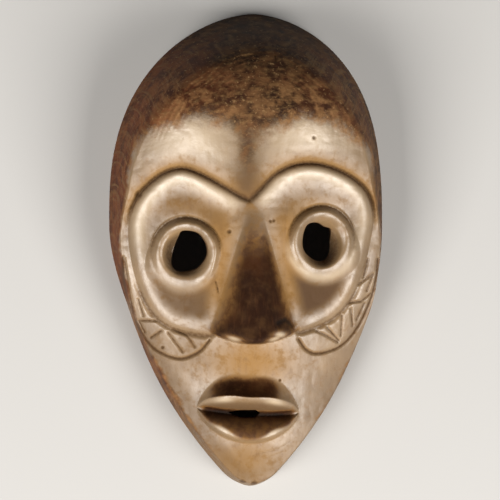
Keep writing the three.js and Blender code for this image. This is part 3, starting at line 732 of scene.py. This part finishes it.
def gouge_height(x, y):
    """Rows of long scoops that hollowed the back, each a little different."""
    row = np.floor(y / GOUGE_LENGTH + soft_noise(x, y, GOUGE_ROW_FIELD))
    across = x / GOUGE_WIDTH + GOUGE_ROW_SHIFT * row + soft_noise(x, y, GOUGE_SIDE_FIELD)
    scoop = (2 * (across - np.floor(across)) - 1) ** 2
    end = (2 * (y / GOUGE_LENGTH - np.floor(y / GOUGE_LENGTH)) - 1) ** 4
    return -GOUGE_DEPTH * np.maximum(scoop, GOUGE_END_SHARE * end)


def inner_height(x, y):
    """A plain bowl, one wall thickness below the dome."""
    away = distance_to_loop(x, y, INNER_LOOP)
    bowl = smooth_min(dome_height(x, y) - WALL_THICKNESS, INNER_STEEPNESS * away, INNER_BLEND)
    return bowl + gouge_height(x, y) * ease(0, GOUGE_FROM_RIM, away)


# Mesh of the shell

def make_mesh(name, points, faces):
    mesh = bpy.data.meshes.new(name)
    mesh.from_pydata(points, [], faces)
    return mesh


def add_object(name, data):
    thing = bpy.data.objects.new(name, data)
    bpy.context.collection.objects.link(thing)
    return thing


def surface_grid(across, along, loop, height_at):
    """Rows of points over a loop: a square grid pressed into a disc."""
    columns, rows = np.linspace(-1, 1, across + 1), np.linspace(-1, 1, along + 1)
    square_x, square_y = np.meshgrid(columns, rows)
    disc_x = square_x * np.sqrt(1 - square_y * square_y / 2)
    disc_y = square_y * np.sqrt(1 - square_x * square_x / 2)
    radius = np.hypot(disc_x, disc_y)
    spread = np.sin(np.minimum(radius, 1) * np.pi / 2) / np.maximum(radius, TINY)
    x, y = disc_to_plan(disc_x * spread, disc_y * spread, loop)
    z = height_at(x.ravel(), y.ravel()).reshape(x.shape)
    z[radius > 1 - TINY] = 0
    return np.stack([x, y, z], -1)


def grid_index(across, along, first):
    return first + np.arange((across + 1) * (along + 1)).reshape(along + 1, across + 1)


def grid_quads(index):
    corners = [index[:-1, :-1], index[:-1, 1:], index[1:, 1:], index[1:, :-1]]
    return np.stack(corners, -1).reshape(-1, 4)


def grid_border(index):
    """Indices round the grid's edge, anticlockwise."""
    return np.concatenate([index[0, :-1], index[:-1, -1], index[-1, :0:-1], index[:0:-1, 0]])


def make_shell_mesh():
    """Outer surface, flat rim on the back plane, inner surface."""
    coarse = (GRID_ACROSS // INNER_SHARE, GRID_ALONG // INNER_SHARE)
    outer = surface_grid(GRID_ACROSS, GRID_ALONG, OUTER_LOOP, outer_height).reshape(-1, 3)
    inner = surface_grid(*coarse, INNER_LOOP, inner_height).reshape(-1, 3)
    outer_index = grid_index(GRID_ACROSS, GRID_ALONG, 0)
    inner_index = grid_index(*coarse, len(outer))
    faces = np.vstack([grid_quads(outer_index), grid_quads(inner_index)[:, ::-1]]).tolist()
    outer_ring = grid_border(outer_index)
    inner_ring = grid_border(inner_index)
    for i, near in enumerate(inner_ring):
        after = inner_ring[(i + 1) % len(inner_ring)]
        step = outer_ring[np.arange(i * INNER_SHARE, (i + 1) * INNER_SHARE + 1) % len(outer_ring)]
        faces.append([int(near), int(after)] + step[::-1].tolist())
    return make_mesh("carved_mask", (np.vstack([outer, inner]) * MM).tolist(), faces)


def make_cutter(outline):
    """Upright prism with the outline of a knife-cut hole."""
    x, y = outline.T
    if np.sum(x * np.roll(y, -1) - np.roll(x, -1) * y) < 0:
        outline = outline[::-1]
    count = len(outline)
    levels = (-WALL_THICKNESS, FOREHEAD_Z + WALL_THICKNESS)
    places = [(px * MM, py * MM, z * MM) for z in levels for px, py in outline]
    faces = [list(range(count))[::-1], list(range(count, 2 * count))]
    for i in range(count):
        j = (i + 1) % count
        faces.append([i, j, j + count, i + count])
    return add_object("cutter", make_mesh("cutter", places, faces))


def keep_modified(piece):
    graph = bpy.context.evaluated_depsgraph_get()
    mesh = bpy.data.meshes.new_from_object(piece.evaluated_get(graph))
    piece.modifiers.clear()
    piece.data = mesh


def triangle_count(mesh):
    return sum(len(face.vertices) - 2 for face in mesh.polygons)


def cut_holes(piece):
    outlines = [curve_through(side["hole"], closed=True) for side in EYE_SIDES]
    cutters = [make_cutter(outline) for outline in outlines + [np.array(MOUTH_SLOT, float)]]
    for cutter in cutters:
        cut = piece.modifiers.new("hole", "BOOLEAN")
        cut.operation = "DIFFERENCE"
        cut.solver = "MANIFOLD"
        cut.object = cutter
    keep_modified(piece)
    for cutter in cutters:
        bpy.data.objects.remove(cutter)


def thin_out(piece):
    thin = piece.modifiers.new("thin", "DECIMATE")
    thin.ratio = TRIANGLE_LIMIT / triangle_count(piece.data)
    keep_modified(piece)


def drop_spare_points(piece):
    """Points that join only two edges go, so that no sliver is left on a hole's edge."""
    mesh = bmesh.new()
    mesh.from_mesh(piece.data)
    spare = [point for point in mesh.verts if len(point.link_edges) == 2]
    bmesh.ops.dissolve_verts(mesh, verts=spare)
    mesh.to_mesh(piece.data)
    mesh.free()


# Colour zones, kept on the mesh's points for the material

# Painted highlights on the nostrils' lower edges, heights are over the nose's base
NOSTRIL_HIGHLIGHT_AT = (0.9, 0.9)

# Dark patina and painted shade: the nose, the slope above the mouth with a painted shadow of the
# lips, the lower lip
NOSE_DARK_WIDTH = [(-26, 0.85), (-12, 1)]
NOSE_DARK_LEFT = [(-25, 0.65), (-16, 0.3)]
NOSE_DARK_RIGHT = 0.6
NOSE_DARK_END = 1.12
NOSE_DARK_UP_FADE = (-6, 12)
NOSE_DARK_BASE_FADE = (-0.3, 0.6)
SLOPE_DARK_X = -1.6
SLOPE_DARK_SIDE_FADE = (6.5, 11.5)
SLOPE_DARK_TOP_FADE = (-0.05, 0.5)
SLOPE_DARK_LIP_FADE = (-0.3, 0.3)
LIP_DARK_RISE = 1.5
LIP_DARK_RISE_AT = (7, 3)
LIP_DARK_EDGE_FADE = (-1, 0.7)
LIP_DARK_LINE_FADE = (0.2, 1.2)
LIP_DARK_CORNER_FADE = (0.8, 1)
LIP_DARK_ALONG = [(0.5, 0.95), (3.5, 0.68)]

# Dirt in cuts, pits and nicks, and between the lips
BROW_DIRT = 0.85
RING_DIRT = 0.6
HOLE_DIRT = 0.6
HOLE_DIRT_FADE = (0.75, 1)
STROKE_DIRT = 0.8
PIT_DIRT_SPREAD = 1.4
FULL_DIRT_DEPTH = 0.35
MOUTH_DIRT_AT = (-0.5, 0.75)
MOUTH_DIRT_ALONG = [(0.5, 1), (0.85, 0.5), (0.98, 0)]
DIRT_FROM_Z = (3, 9)

# Darker, duller wood of dust and painted shade, with spots of painted shade on the bridge of the
# nose and the left cheek
SHADE_SPOTS = [(0.65, -1, 8, 3.5, 6), (0.45, -17, -27, 7, 8)]
CLEFT_SHADE_AT = (-1.7, 3.9)
CLEFT_SHADE_FADE = (11, 17)
DISH_LOW_FADE = (-4, 9)
DISH_SHADE_INSET = (4, 2.2)
DISH_SHADE_FADE = 4
DISH_SHADE_RING_FADE = 0.3
LIP_DUSK_TOP_FADE = (0, 2.2)
LIP_DUSK_LINE_FADE = (-0.2, 0.4)
LOW_SIDE_FADE = (3, 9)
LOW_SIDE_UP_FADE = (-26, -14)
LOW_SIDE_DUSK = [(-12, 0.6), (12, 0.3)]
CHIN_DUSK = 0.25
CHIN_DUSK_AT = (-58, 6)

# Warmer, yellower wood, with spots below the nose, on the chin and over the rings
GOLD_NOSE_SIDE_AT = (9.5, 4.5)
GOLD_NOSE_LOW_FADE = (-24, -12)
GOLD_NOSE_HIGH_FADE = (6, 14)
GOLD_SPOTS = [(1, 0.5, -31, 14, 7), (0.7, -1, -58, 11, 6)]
GOLD_RINGS_SPOT = (0.6, 17, 12, 9, 4)
# The golden, duller band along the brows is painted shade on the brow step's face
GOLD_BROW_SHADE = 0.65
GOLD_BROW_SHADE_AT = (0.8, 3.2)
GOLD_BROW_SHADE_FADE = (3, 12)
GOLD_RING_FADE = (0.9, 1.05)

# Paler wood: handled wear, and painted highlights on the forehead bumps, the goggle rims, the
# rings' lower parts, the lips and the nostrils
SHEEN_MIDDLE_X = -1
BUMP_SHEEN_SPOT = (1, 16, 30, 11, 9)
BUMP_SHEEN_BROW_FADE = (1, 7)
RIM_HIGHLIGHT_AT = (2.8, 1.7)
RIM_HIGHLIGHT_LOW_FADE = (-6, 8)
RIM_HIGHLIGHT_ACROSS = [(26, 1), (34, 0.5)]
RIM_HIGHLIGHT_CHEEK_FADE = (0, 4)
CRESCENT_SPREAD = 0.12
CRESCENT_LOW_FADE = (-0.2, 0.7)
LIP_SHINE_AT = (7, 2.6)
UPPER_SHINE_AT = (-1, 0.8)
LOWER_SHINE_AT = (0.9, 0.8)

# A point this near to the outline is on the outer edge
EDGE_TOLERANCE = 0.05


def nostril_highlight_share(x, y):
    """1 on the nostrils' edges and on the knob, where highlights are painted."""
    out, base, _ = nose_lines(x, y)
    edges = bell(out, *NOSTRIL_AT) * bell(y - base, *NOSTRIL_HIGHLIGHT_AT)
    return np.maximum(edges, knob_share(x, y))


def nose_patina_and_shade(x, y):
    out, base, half_width = nose_lines(x, y)
    width = out / half_width * value_at(NOSE_DARK_WIDTH, y)
    start = np.where(x < NOSE_X, value_at(NOSE_DARK_LEFT, y), NOSE_DARK_RIGHT)
    share = 1 - ease(start, NOSE_DARK_END, width)
    share = share * (1 - ease(*NOSE_DARK_UP_FADE, y)) * ease(*NOSE_DARK_BASE_FADE, y - base)
    return share * (1 - nostril_highlight_share(x, y))


# Painted shadow cast by the lips, over dark patina, on the slope above the mouth
def upper_slope_patina_and_shadow(x, y):
    _, _, upper_edge, slope_top, _ = mouth_lines(x)
    share = ease(*SLOPE_DARK_TOP_FADE, upper_slope_climb(y, slope_top, upper_edge))
    share = share * ease(*SLOPE_DARK_LIP_FADE, y - upper_edge)
    return share * (1 - ease(*SLOPE_DARK_SIDE_FADE, np.abs(x - SLOPE_DARK_X)))


def lower_lip_patina_and_shade(x, y):
    side, line, _, _, lower_edge = mouth_lines(x)
    rubbed_and_shine = LIP_DARK_RISE * bell(np.abs(x - MOUTH_X), *LIP_DARK_RISE_AT)
    share = ease(*LIP_DARK_EDGE_FADE, y - lower_edge - rubbed_and_shine)
    share = share * (1 - ease(*LIP_DARK_LINE_FADE, y - line))
    return share * value_at(LIP_DARK_ALONG, line - y) * (1 - ease(*LIP_DARK_CORNER_FADE, side))


def patina_and_shade_share(x, y):
    """Dark patina with painted shade on the nose, a painted shadow of the lips on the slope above
    the mouth, and painted shade on the lower lip.
    """
    return np.maximum.reduce([nose_patina_and_shade(x, y), upper_slope_patina_and_shadow(x, y), lower_lip_patina_and_shade(x, y)])


def eye_dirt(x, y, zone, side):
    """Dirt round one ring, in its hole and in the band below it."""
    ring = RING_DIRT * ring_groove_share(x, y, side)
    hole = HOLE_DIRT * (1 - ease(*HOLE_DIRT_FADE, ellipse_share(x, y, side["funnel"])))
    share = np.maximum.reduce([ring, hole, zone["band_cut"]])
    for stroke in side["strokes"]:
        share = np.maximum(share, STROKE_DIRT * cut_share(x, y, stroke, STROKE_WIDTH))
    return share


def groove_share(x, y, zones):
    """Dirt in the knife cuts, pits and nicks and between the lips."""
    share = BROW_DIRT * brow_groove_share(x, y, zones)
    for zone, side in zip(zones, EYE_SIDES):
        share = np.maximum(share, eye_dirt(x, y, zone, side))
    for pit_x, pit_y, radius, _ in PITS:
        pit = bell(np.hypot(x - pit_x, y - pit_y), 0, PIT_DIRT_SPREAD * radius)
        share = np.maximum(share, pit)
    for nick, width, depth in NICKS:
        strength = min(1, depth / FULL_DIRT_DEPTH)
        share = np.maximum(share, strength * cut_share(x, y, nick, width))
    side, line, *_ = mouth_lines(x)
    mouth = bell(y - line, *MOUTH_DIRT_AT)
    return np.maximum(share, mouth * value_at(MOUTH_DIRT_ALONG, side))


def dish_shade(x, y, zone, side):
    """Painted shade, duller, in one dish, mostly in its lower part."""
    low = ease(*DISH_LOW_FADE, side["ring"][1] - y)
    from_edge = ease(0, DISH_SHADE_FADE, zone["to_edge"] - lerp(*DISH_SHADE_INSET, low))
    from_cheek = ease(0, DISH_SHADE_FADE, zone["to_cheek"])
    away = ellipse_share(x, y, side["ring"]) - side["shade_from_ring"]
    from_ring = ease(0, DISH_SHADE_RING_FADE, away)
    return lerp(*side["dish_shade"], low) * from_edge * from_cheek * zone["inside"] * from_ring


def dust_and_shade_share(x, y, zones):
    """Darker, duller patches of dust and painted shade: in the dishes and the cleft, on the upper
    lip and low on the sides.
    """
    spots = [spot_share(x, y, spot) for spot in SHADE_SPOTS]
    cleft = bell(x, *CLEFT_SHADE_AT) * ease(*CLEFT_SHADE_FADE, y)
    dishes = [dish_shade(x, y, zone, side) for zone, side in zip(zones, EYE_SIDES)]
    _, line, upper_edge, *_ = mouth_lines(x)
    lip = ease(*LIP_DUSK_TOP_FADE, upper_edge - y) * ease(*LIP_DUSK_LINE_FADE, y - line)
    low_sides = 1 - ease(*LOW_SIDE_FADE, distance_to_loop(x, y, OUTER_LOOP))
    low_sides = low_sides * (1 - ease(*LOW_SIDE_UP_FADE, y)) * value_at(LOW_SIDE_DUSK, x)
    chin = CHIN_DUSK * bell(y, *CHIN_DUSK_AT)
    return np.maximum.reduce([*spots, cleft, *dishes, lip, low_sides, chin])


def gold_share(x, y, zones):
    """Warmer, yellower wood beside the nose, below it and on the chin, and painted shade along
    the brows.
    """
    beside = bell(np.abs(x - NOSE_X), *GOLD_NOSE_SIDE_AT)
    beside = beside * ease(*GOLD_NOSE_LOW_FADE, y) * (1 - ease(*GOLD_NOSE_HIGH_FADE, y))
    spots = sum(spot_share(x, y, spot) for spot in GOLD_SPOTS)
    over_rings = spot_share(np.abs(x), y, GOLD_RINGS_SPOT)
    share = np.clip(beside + spots + over_rings, 0, 1)
    away, outside = off_zones(zones)
    brow = GOLD_BROW_SHADE * bell(away, *GOLD_BROW_SHADE_AT) * outside * ease(*GOLD_BROW_SHADE_FADE, y)
    share = np.maximum(share, brow)
    for side in EYE_SIDES:
        share = share * ease(*GOLD_RING_FADE, ellipse_share(x, y, side["ring"]))
    return share


# Painted highlight along the inside of one goggle rim
def rim_highlight_share(x, y, zone):
    share = bell(zone["to_edge"], *RIM_HIGHLIGHT_AT) * zone["inside"] * ease(*RIM_HIGHLIGHT_LOW_FADE, y)
    return share * value_at(RIM_HIGHLIGHT_ACROSS, x) * ease(*RIM_HIGHLIGHT_CHEEK_FADE, zone["to_cheek"])


def ring_highlight_share(x, y, side):
    """Painted highlight on the lower part of one ring."""
    crest, strength = side["crescent"]
    low = ease(*CRESCENT_LOW_FADE, -ring_level(y, side))
    return strength * bell(ellipse_share(x, y, side["ring"]), crest, CRESCENT_SPREAD) * low


def wear_and_highlight_share(x, y, zones):
    """Paler wood: handled wear, with painted highlights on the bumps, the goggle rims, the rings,
    the lips and the nostrils.
    """
    away, outside = off_zones(zones)
    bumps = spot_share(np.abs(x - SHEEN_MIDDLE_X), y, BUMP_SHEEN_SPOT)
    bumps = bumps * ease(*BUMP_SHEEN_BROW_FADE, away) * outside
    rims = [rim_highlight_share(x, y, zone) for zone in zones]
    crescents = [ring_highlight_share(x, y, side) for side in EYE_SIDES]
    _, _, upper_edge, _, lower_edge = mouth_lines(x)
    shine = bell(np.abs(x - MOUTH_X), *LIP_SHINE_AT)
    upper = shine * bell(y - upper_edge, *UPPER_SHINE_AT)
    lower = shine * bell(y - lower_edge, *LOWER_SHINE_AT)
    return np.maximum.reduce([bumps, *rims, *crescents, upper, lower, nostril_highlight_share(x, y)])


def store_zones(mesh):
    places = np.empty(len(mesh.vertices) * 3, np.float32)
    mesh.vertices.foreach_get("co", places)
    x, y, z = (places.reshape(-1, 3).astype(float) / MM).T
    on_edge = distance_to_loop(x, y, OUTER_LOOP) < EDGE_TOLERANCE
    middle_z = (outer_height(x, y) + inner_height(x, y)) / 2
    zones = measure_zones(x, y)
    shares = {
        "back": (z < middle_z) & ~on_edge,
        "hair": hair_share(x, y),
        "dark": patina_and_shade_share(x, y),
        "groove": groove_share(x, y, zones) * ease(*DIRT_FROM_Z, z),
        "gold": gold_share(x, y, zones),
        "dust_and_shade": dust_and_shade_share(x, y, zones),
        "wear_and_highlight": wear_and_highlight_share(x, y, zones),
    }
    for name, values in shares.items():
        attribute = mesh.attributes.new(name, "FLOAT", "POINT")
        attribute.data.foreach_set("value", np.asarray(values, np.float32))


# Material

# Noises: scale per metre, detail, roughness
NOISES = {
    "patches": (70, 3, 0.55),
    "blotches": (260, 4, 0.6),
    "stains": (420, 4, 0.65),
    "speckle": (1300, 2, 0.6),
}
GRAIN_NOISE = (900, 3, 0.6)
GRAIN_STRETCH = (1, 0.09, 1)
FIBRE_NOISE = (1500, 3, 0.65)
FIBRE_STRETCH = 0.012

ZONES = ("back", "hair", "dark", "groove", "gold", "dust_and_shade", "wear_and_highlight")

# Ramps: from, to, and the values there if they aren't 0 and 1. Places on the mask are metres
LEFT_SIDE_X = (-0.032, -0.004, 1, 0)
GILT_Y = (0.04, 0.05, 1, 0)
GILT_X = (0.018, 0.03, 1, 0)
GILT_HAIR = (0.55, 0.95, 1, 0)
GILT_OFF_MIDDLE_X = (0.002, 0.009, 0.2, 1)
GILT_BLOTCHES = (0.4, 0.6)
GILT_STAINS = (0.36, 0.6, 0.25, 1)
EDGE_BLOTCHES = (0.3, 0.7, -0.15, 0.15)
EDGE_SPECKLE = (0.3, 0.7, -0.06, 0.06)
DIRT_SPECKLE = (0.3, 0.7, -0.1, 0.1)
DIRT_RAMP = (0.2, 0.95)

# A paint is a colour as a screen shows it, 0 to 255, or a list of a base paint and the
# layers over it: the share that a layer follows, a ramp or a strength for it, the paint
FACE = [
    (118, 94, 64),
    ("patches", (0.35, 0.65), (138, 112, 80)),
    # Warmer colour, with painted shade along the brows
    ("gold", 0.8, (142, 105, 56)),
    ("grain", (0.5, 0.75, 0, 0.2), (92, 64, 40)),
    ("blotches", (0.52, 0.75, 0, 0.3), (98, 70, 46)),
    ("stains", (0.5, 0.72, 0, 0.4), (124, 90, 50)),
    # Darker colour: dust and painted shade
    ("dust_and_shade", 0.75, (84, 62, 42)),
    # Paler colour: handled wear and painted highlights
    ("wear_and_highlight", 0.8, (182, 163, 137)),
]
CROWN = [
    (44, 27, 17),
    ("blotches", (0.36, 0.64), (98, 68, 42)),
    ("patches", (0.4, 0.7, 0, 0.5), (90, 50, 30)),
    # Darker towards the crown's top edge: painted shade
    ("y", (0.044, 0.064, 0, 0.5), (22, 13, 8)),
    ("left_side", 0.45, (128, 56, 22)),
    ("fibres", (0.46, 0.72, 0, 0.5), (122, 94, 60)),
    ("speckle", (0.6, 0.75, 0, 0.6), (156, 126, 88)),
    ("gilt", 0.75, (136, 100, 64)),
]
# Browns of the dark zones: patina and painted shade
MID_PATINA_AND_SHADE = [(84, 54, 27), ("stains", (0.38, 0.66), (120, 86, 48))]
DEEP_PATINA_AND_SHADE = [
    (38, 18, 5),
    ("patches", (0.4, 0.7), (60, 32, 12)),
    ("grain", (0.5, 0.75, 0, 0.3), (86, 54, 30)),
    ("blotches", (0.42, 0.75, 0, 0.4), (84, 58, 32)),
]
DIRT = [(66, 44, 26), ("dark", (0.3, 0.8), (16, 9, 5))]
RAW_WOOD = [(104, 76, 50), ("grain", (0.35, 0.7), (72, 48, 30))]
WAXED_WOOD = [
    FACE,
    ("edge", (0.05, 0.85), CROWN),
    ("dark", (0, 0.6), MID_PATINA_AND_SHADE),
    ("dark", (0.35, 1), DEEP_PATINA_AND_SHADE),
    ("dirt", 0.8, DIRT),
    ("back", 1, RAW_WOOD),
]

# Shares that make the wood dull, each with a ramp or a strength
DULL = [
    ("gold", 0.75),
    ("dust_and_shade", 0.8),
    ("dirt", 0.8),
    ("stains", (0.46, 0.72, 0, 0.3)),
    ("edge", (0.1, 0.9)),
    ("dark", 0.9),
    ("back", 1),
]
DULL_ROUGHNESS = 0.24
POLISH_ROUGHNESS = (0.3, 0.7, 0.38, 0.44)
GLOSS = (0, 1, 1, 0.1)

# Heights of the bumps, in metres, and how much of the crown's fibres the face has
GRAIN_BUMP = 0.00003
FIBRE_BUMP = 0.00018
SPECKLE_BUMP = 0.00003
FACE_FIBRES = 0.08


def linear(red, green, blue):
    """Scene colour of a colour given as 0 to 255 on a screen."""
    return tuple(((c / 255 + 0.055) / 1.055) ** 2.4 for c in (red, green, blue)) + (1,)


class Nodes:
    """Short ways to add and join the nodes of one material."""

    def __init__(self, name):
        self.material = bpy.data.materials.new(name)
        self.material.use_nodes = True
        self.tree = self.material.node_tree
        self.shader = self.tree.nodes["Principled BSDF"]

    def add(self, kind, settings=None, **inputs):
        node = self.tree.nodes.new(kind)
        for key, value in (settings or {}).items():
            setattr(node, key, value)
        for key, value in inputs.items():
            self.feed(node.inputs[key], value)
        return node

    def feed(self, socket, value):
        if isinstance(value, bpy.types.NodeSocket):
            self.tree.links.new(value, socket)
        else:
            socket.default_value = value

    def share(self, name):
        return self.add("ShaderNodeAttribute", {"attribute_name": name}).outputs["Fac"]

    def math(self, operation, a, b=0):
        node = self.add("ShaderNodeMath", {"operation": operation})
        self.feed(node.inputs[0], a)
        self.feed(node.inputs[1], b)
        return node.outputs[0]

    def noise(self, place, scale, detail, roughness):
        kind = "ShaderNodeTexNoise"
        node = self.add(kind, Vector=place, Scale=scale, Detail=detail, Roughness=roughness)
        return node.outputs["Fac"]

    def span(self, value, low, high, to_low=0, to_high=1):
        node = self.add("ShaderNodeMapRange", {"interpolation_type": "SMOOTHSTEP"})
        for socket, part in zip(node.inputs, (value, low, high, to_low, to_high)):
            self.feed(socket, part)
        return node.outputs[0]

    def follow(self, share, rule):
        """A share through a ramp, or times a strength."""
        if isinstance(rule, tuple):
            return self.span(share, *rule)
        return self.math("MULTIPLY", share, rule)

    def blend(self, share, a, b):
        """The Mix node blends colours through its inputs 0, 6 and 7 and its output 2."""
        node = self.add("ShaderNodeMix", {"data_type": "RGBA"})
        self.feed(node.inputs[0], share)
        self.feed(node.inputs[6], a)
        self.feed(node.inputs[7], b)
        return node.outputs[2]

    def bump(self, height, distance, normal=None):
        node = self.add("ShaderNodeBump", Height=height, Distance=distance)
        if normal is not None:
            self.feed(node.inputs["Normal"], normal)
        return node.outputs["Normal"]


def crown_place(wood, place, x, y):
    """Place by the angle round the mask's middle and the distance from it."""
    angle = wood.math("MULTIPLY", wood.math("ARCTAN2", x, y), FIBRE_STRETCH)
    length = wood.add("ShaderNodeVectorMath", {"operation": "LENGTH"})
    wood.feed(length.inputs[0], place)
    return wood.add("ShaderNodeCombineXYZ", X=angle, Y=length.outputs["Value"]).outputs[0]


def gilt_share(wood, shares, x):
    """Golden patches low on the crown, mostly beside its middle."""
    out = wood.math("ABSOLUTE", x)
    share = wood.math("MULTIPLY", wood.span(shares["y"], *GILT_Y), wood.span(out, *GILT_X))
    share = wood.math("MAXIMUM", share, wood.span(shares["hair"], *GILT_HAIR))
    share = wood.math("MULTIPLY", share, wood.span(out, *GILT_OFF_MIDDLE_X))
    share = wood.math("MULTIPLY", share, wood.span(shares["blotches"], *GILT_BLOTCHES))
    return wood.math("MULTIPLY", share, wood.span(shares["stains"], *GILT_STAINS))


def wood_shares(wood):
    """What the wood's look follows: noises, zones and mixtures of them."""
    place = wood.add("ShaderNodeTexCoord").outputs["Object"]
    split = wood.add("ShaderNodeSeparateXYZ", Vector=place).outputs
    stretched = wood.add("ShaderNodeMapping", Vector=place, Scale=GRAIN_STRETCH).outputs[0]
    shares = {name: wood.noise(place, *settings) for name, settings in NOISES.items()}
    shares.update({name: wood.share(name) for name in ZONES})
    shares["y"] = split["Y"]
    shares["grain"] = wood.noise(stretched, *GRAIN_NOISE)
    shares["fibres"] = wood.noise(crown_place(wood, place, split["X"], split["Y"]), *FIBRE_NOISE)
    left = wood.span(split["X"], *LEFT_SIDE_X)
    shares["left_side"] = wood.math("MULTIPLY", left, shares["blotches"])
    shares["gilt"] = gilt_share(wood, shares, split["X"])
    edge = wood.math("ADD", shares["hair"], wood.span(shares["blotches"], *EDGE_BLOTCHES))
    shares["edge"] = wood.math("ADD", edge, wood.span(shares["speckle"], *EDGE_SPECKLE))
    dirt = wood.math("ADD", shares["groove"], wood.span(shares["speckle"], *DIRT_SPECKLE))
    shares["dirt"] = wood.span(dirt, *DIRT_RAMP)
    return shares


def paint_color(wood, shares, paint):
    if isinstance(paint, tuple):
        return linear(*paint)
    base, *layers = paint
    color = paint_color(wood, shares, base)
    for name, rule, layer in layers:
        share = wood.follow(shares[name], rule)
        color = wood.blend(share, color, paint_color(wood, shares, layer))
    return color


def set_gloss(wood, shares):
    """Polished where it is handled, dull where it is dirty, dark or raw."""
    dull = 0
    for name, rule in DULL:
        dull = wood.math("ADD", dull, wood.follow(shares[name], rule))
    dull = wood.math("MINIMUM", dull, 1)
    polish = wood.span(shares["blotches"], *POLISH_ROUGHNESS)
    rough = wood.math("ADD", polish, wood.math("MULTIPLY", dull, DULL_ROUGHNESS))
    wood.feed(wood.shader.inputs["Roughness"], rough)
    wood.feed(wood.shader.inputs["Specular IOR Level"], wood.span(dull, *GLOSS))


def set_bumps(wood, shares):
    normal = wood.bump(shares["grain"], GRAIN_BUMP)
    hairy = wood.math("ADD", shares["hair"], FACE_FIBRES)
    normal = wood.bump(wood.math("MULTIPLY", shares["fibres"], hairy), FIBRE_BUMP, normal)
    normal = wood.bump(shares["speckle"], SPECKLE_BUMP, normal)
    wood.feed(wood.shader.inputs["Normal"], normal)


def make_wood():
    wood = Nodes("waxed_wood")
    shares = wood_shares(wood)
    wood.feed(wood.shader.inputs["Base Color"], paint_color(wood, shares, WAXED_WOOD))
    set_gloss(wood, shares)
    set_bumps(wood, shares)
    return wood.material


def make_mask():
    piece = add_object("carved_mask", make_shell_mesh())
    cut_holes(piece)
    thin_out(piece)
    drop_spare_points(piece)
    piece.data.materials.clear()
    piece.data.materials.append(make_wood())
    piece.data.shade_smooth()
    piece.data.set_sharp_from_angle(angle=SHARP_ANGLE)
    store_zones(piece.data)
    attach(piece, "root")
    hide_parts("mask")


# Studio, in metres

FLOOR_HALF_WIDTH = 1.2
FLOOR_COLOR = (0.46, 0.455, 0.445, 1)
FLOOR_ROUGHNESS = 0.9
SOFTBOX_SIZE = 0.5
SOFTBOX_COLOR = (1, 0.97, 0.93)
SOFTBOX_AIM = (0, 0, 0.015)
SOFTBOXES = [
    ("left_softbox", (-0.50, -0.42, 0.60), 10),
    ("right_softbox", (0.50, -0.42, 0.60), 9.5),
]
SKY_COLOR = (0.6, 0.6, 0.62, 1)
SKY_STRENGTH = 0.1


def make_floor():
    half = FLOOR_HALF_WIDTH
    corners = [(-half, -half, 0), (half, -half, 0), (half, half, 0), (-half, half, 0)]
    mesh = make_mesh("floor", corners, [(0, 1, 2, 3)])
    pale = Nodes("pale_floor")
    pale.shader.inputs["Base Color"].default_value = FLOOR_COLOR
    pale.shader.inputs["Roughness"].default_value = FLOOR_ROUGHNESS
    mesh.materials.append(pale.material)
    add_object("floor", mesh)


def aim(thing, place, target):
    """Turns a camera or light at a place towards a target, with the crown's side up."""
    back = (Vector(place) - Vector(target)).normalized()
    right = Vector((0, 1, 0)).cross(back).normalized()
    turn = Matrix((right, back.cross(right), back)).transposed().to_4x4()
    thing.matrix_world = Matrix.Translation(place) @ turn


def add_softbox(name, place, power):
    data = bpy.data.lights.new(name, "AREA")
    data.shape = "SQUARE"
    data.size = SOFTBOX_SIZE
    data.energy = power
    data.color = SOFTBOX_COLOR
    aim(add_object(name, data), place, SOFTBOX_AIM)


def light_studio():
    for name, place, power in SOFTBOXES:
        add_softbox(name, place, power)
    sky = bpy.data.worlds.new("studio")
    sky.use_nodes = True
    sky.node_tree.nodes["Background"].inputs["Color"].default_value = SKY_COLOR
    sky.node_tree.nodes["Background"].inputs["Strength"].default_value = SKY_STRENGTH
    bpy.context.scene.world = sky


def make_camera():
    """Looks straight down on the face, turned a little to the left, as the photograph does."""
    data = bpy.data.cameras.new("camera")
    camera = add_object("camera", data)
    data.sensor_width = SENSOR_WIDTH
    data.lens = SENSOR_WIDTH * CAMERA_DISTANCE / (PHOTO_PIXELS * MM_PER_PIXEL)
    x = (PHOTO_PIXELS / 2 - MASK_CENTRE_PIXEL) * MM_PER_PIXEL
    target = Vector((x, 0, CAMERA_AIM_Z)) * MM
    back = Vector((-math.sin(CAMERA_TURN), 0, math.cos(CAMERA_TURN)))
    aim(camera, target + back * CAMERA_DISTANCE * MM, target)
    bpy.context.scene.camera = camera


make_mask()
make_floor()
light_studio()
make_camera()

# The colours are matched to the photograph in this view
bpy.context.scene.view_settings.view_transform = "Standard"
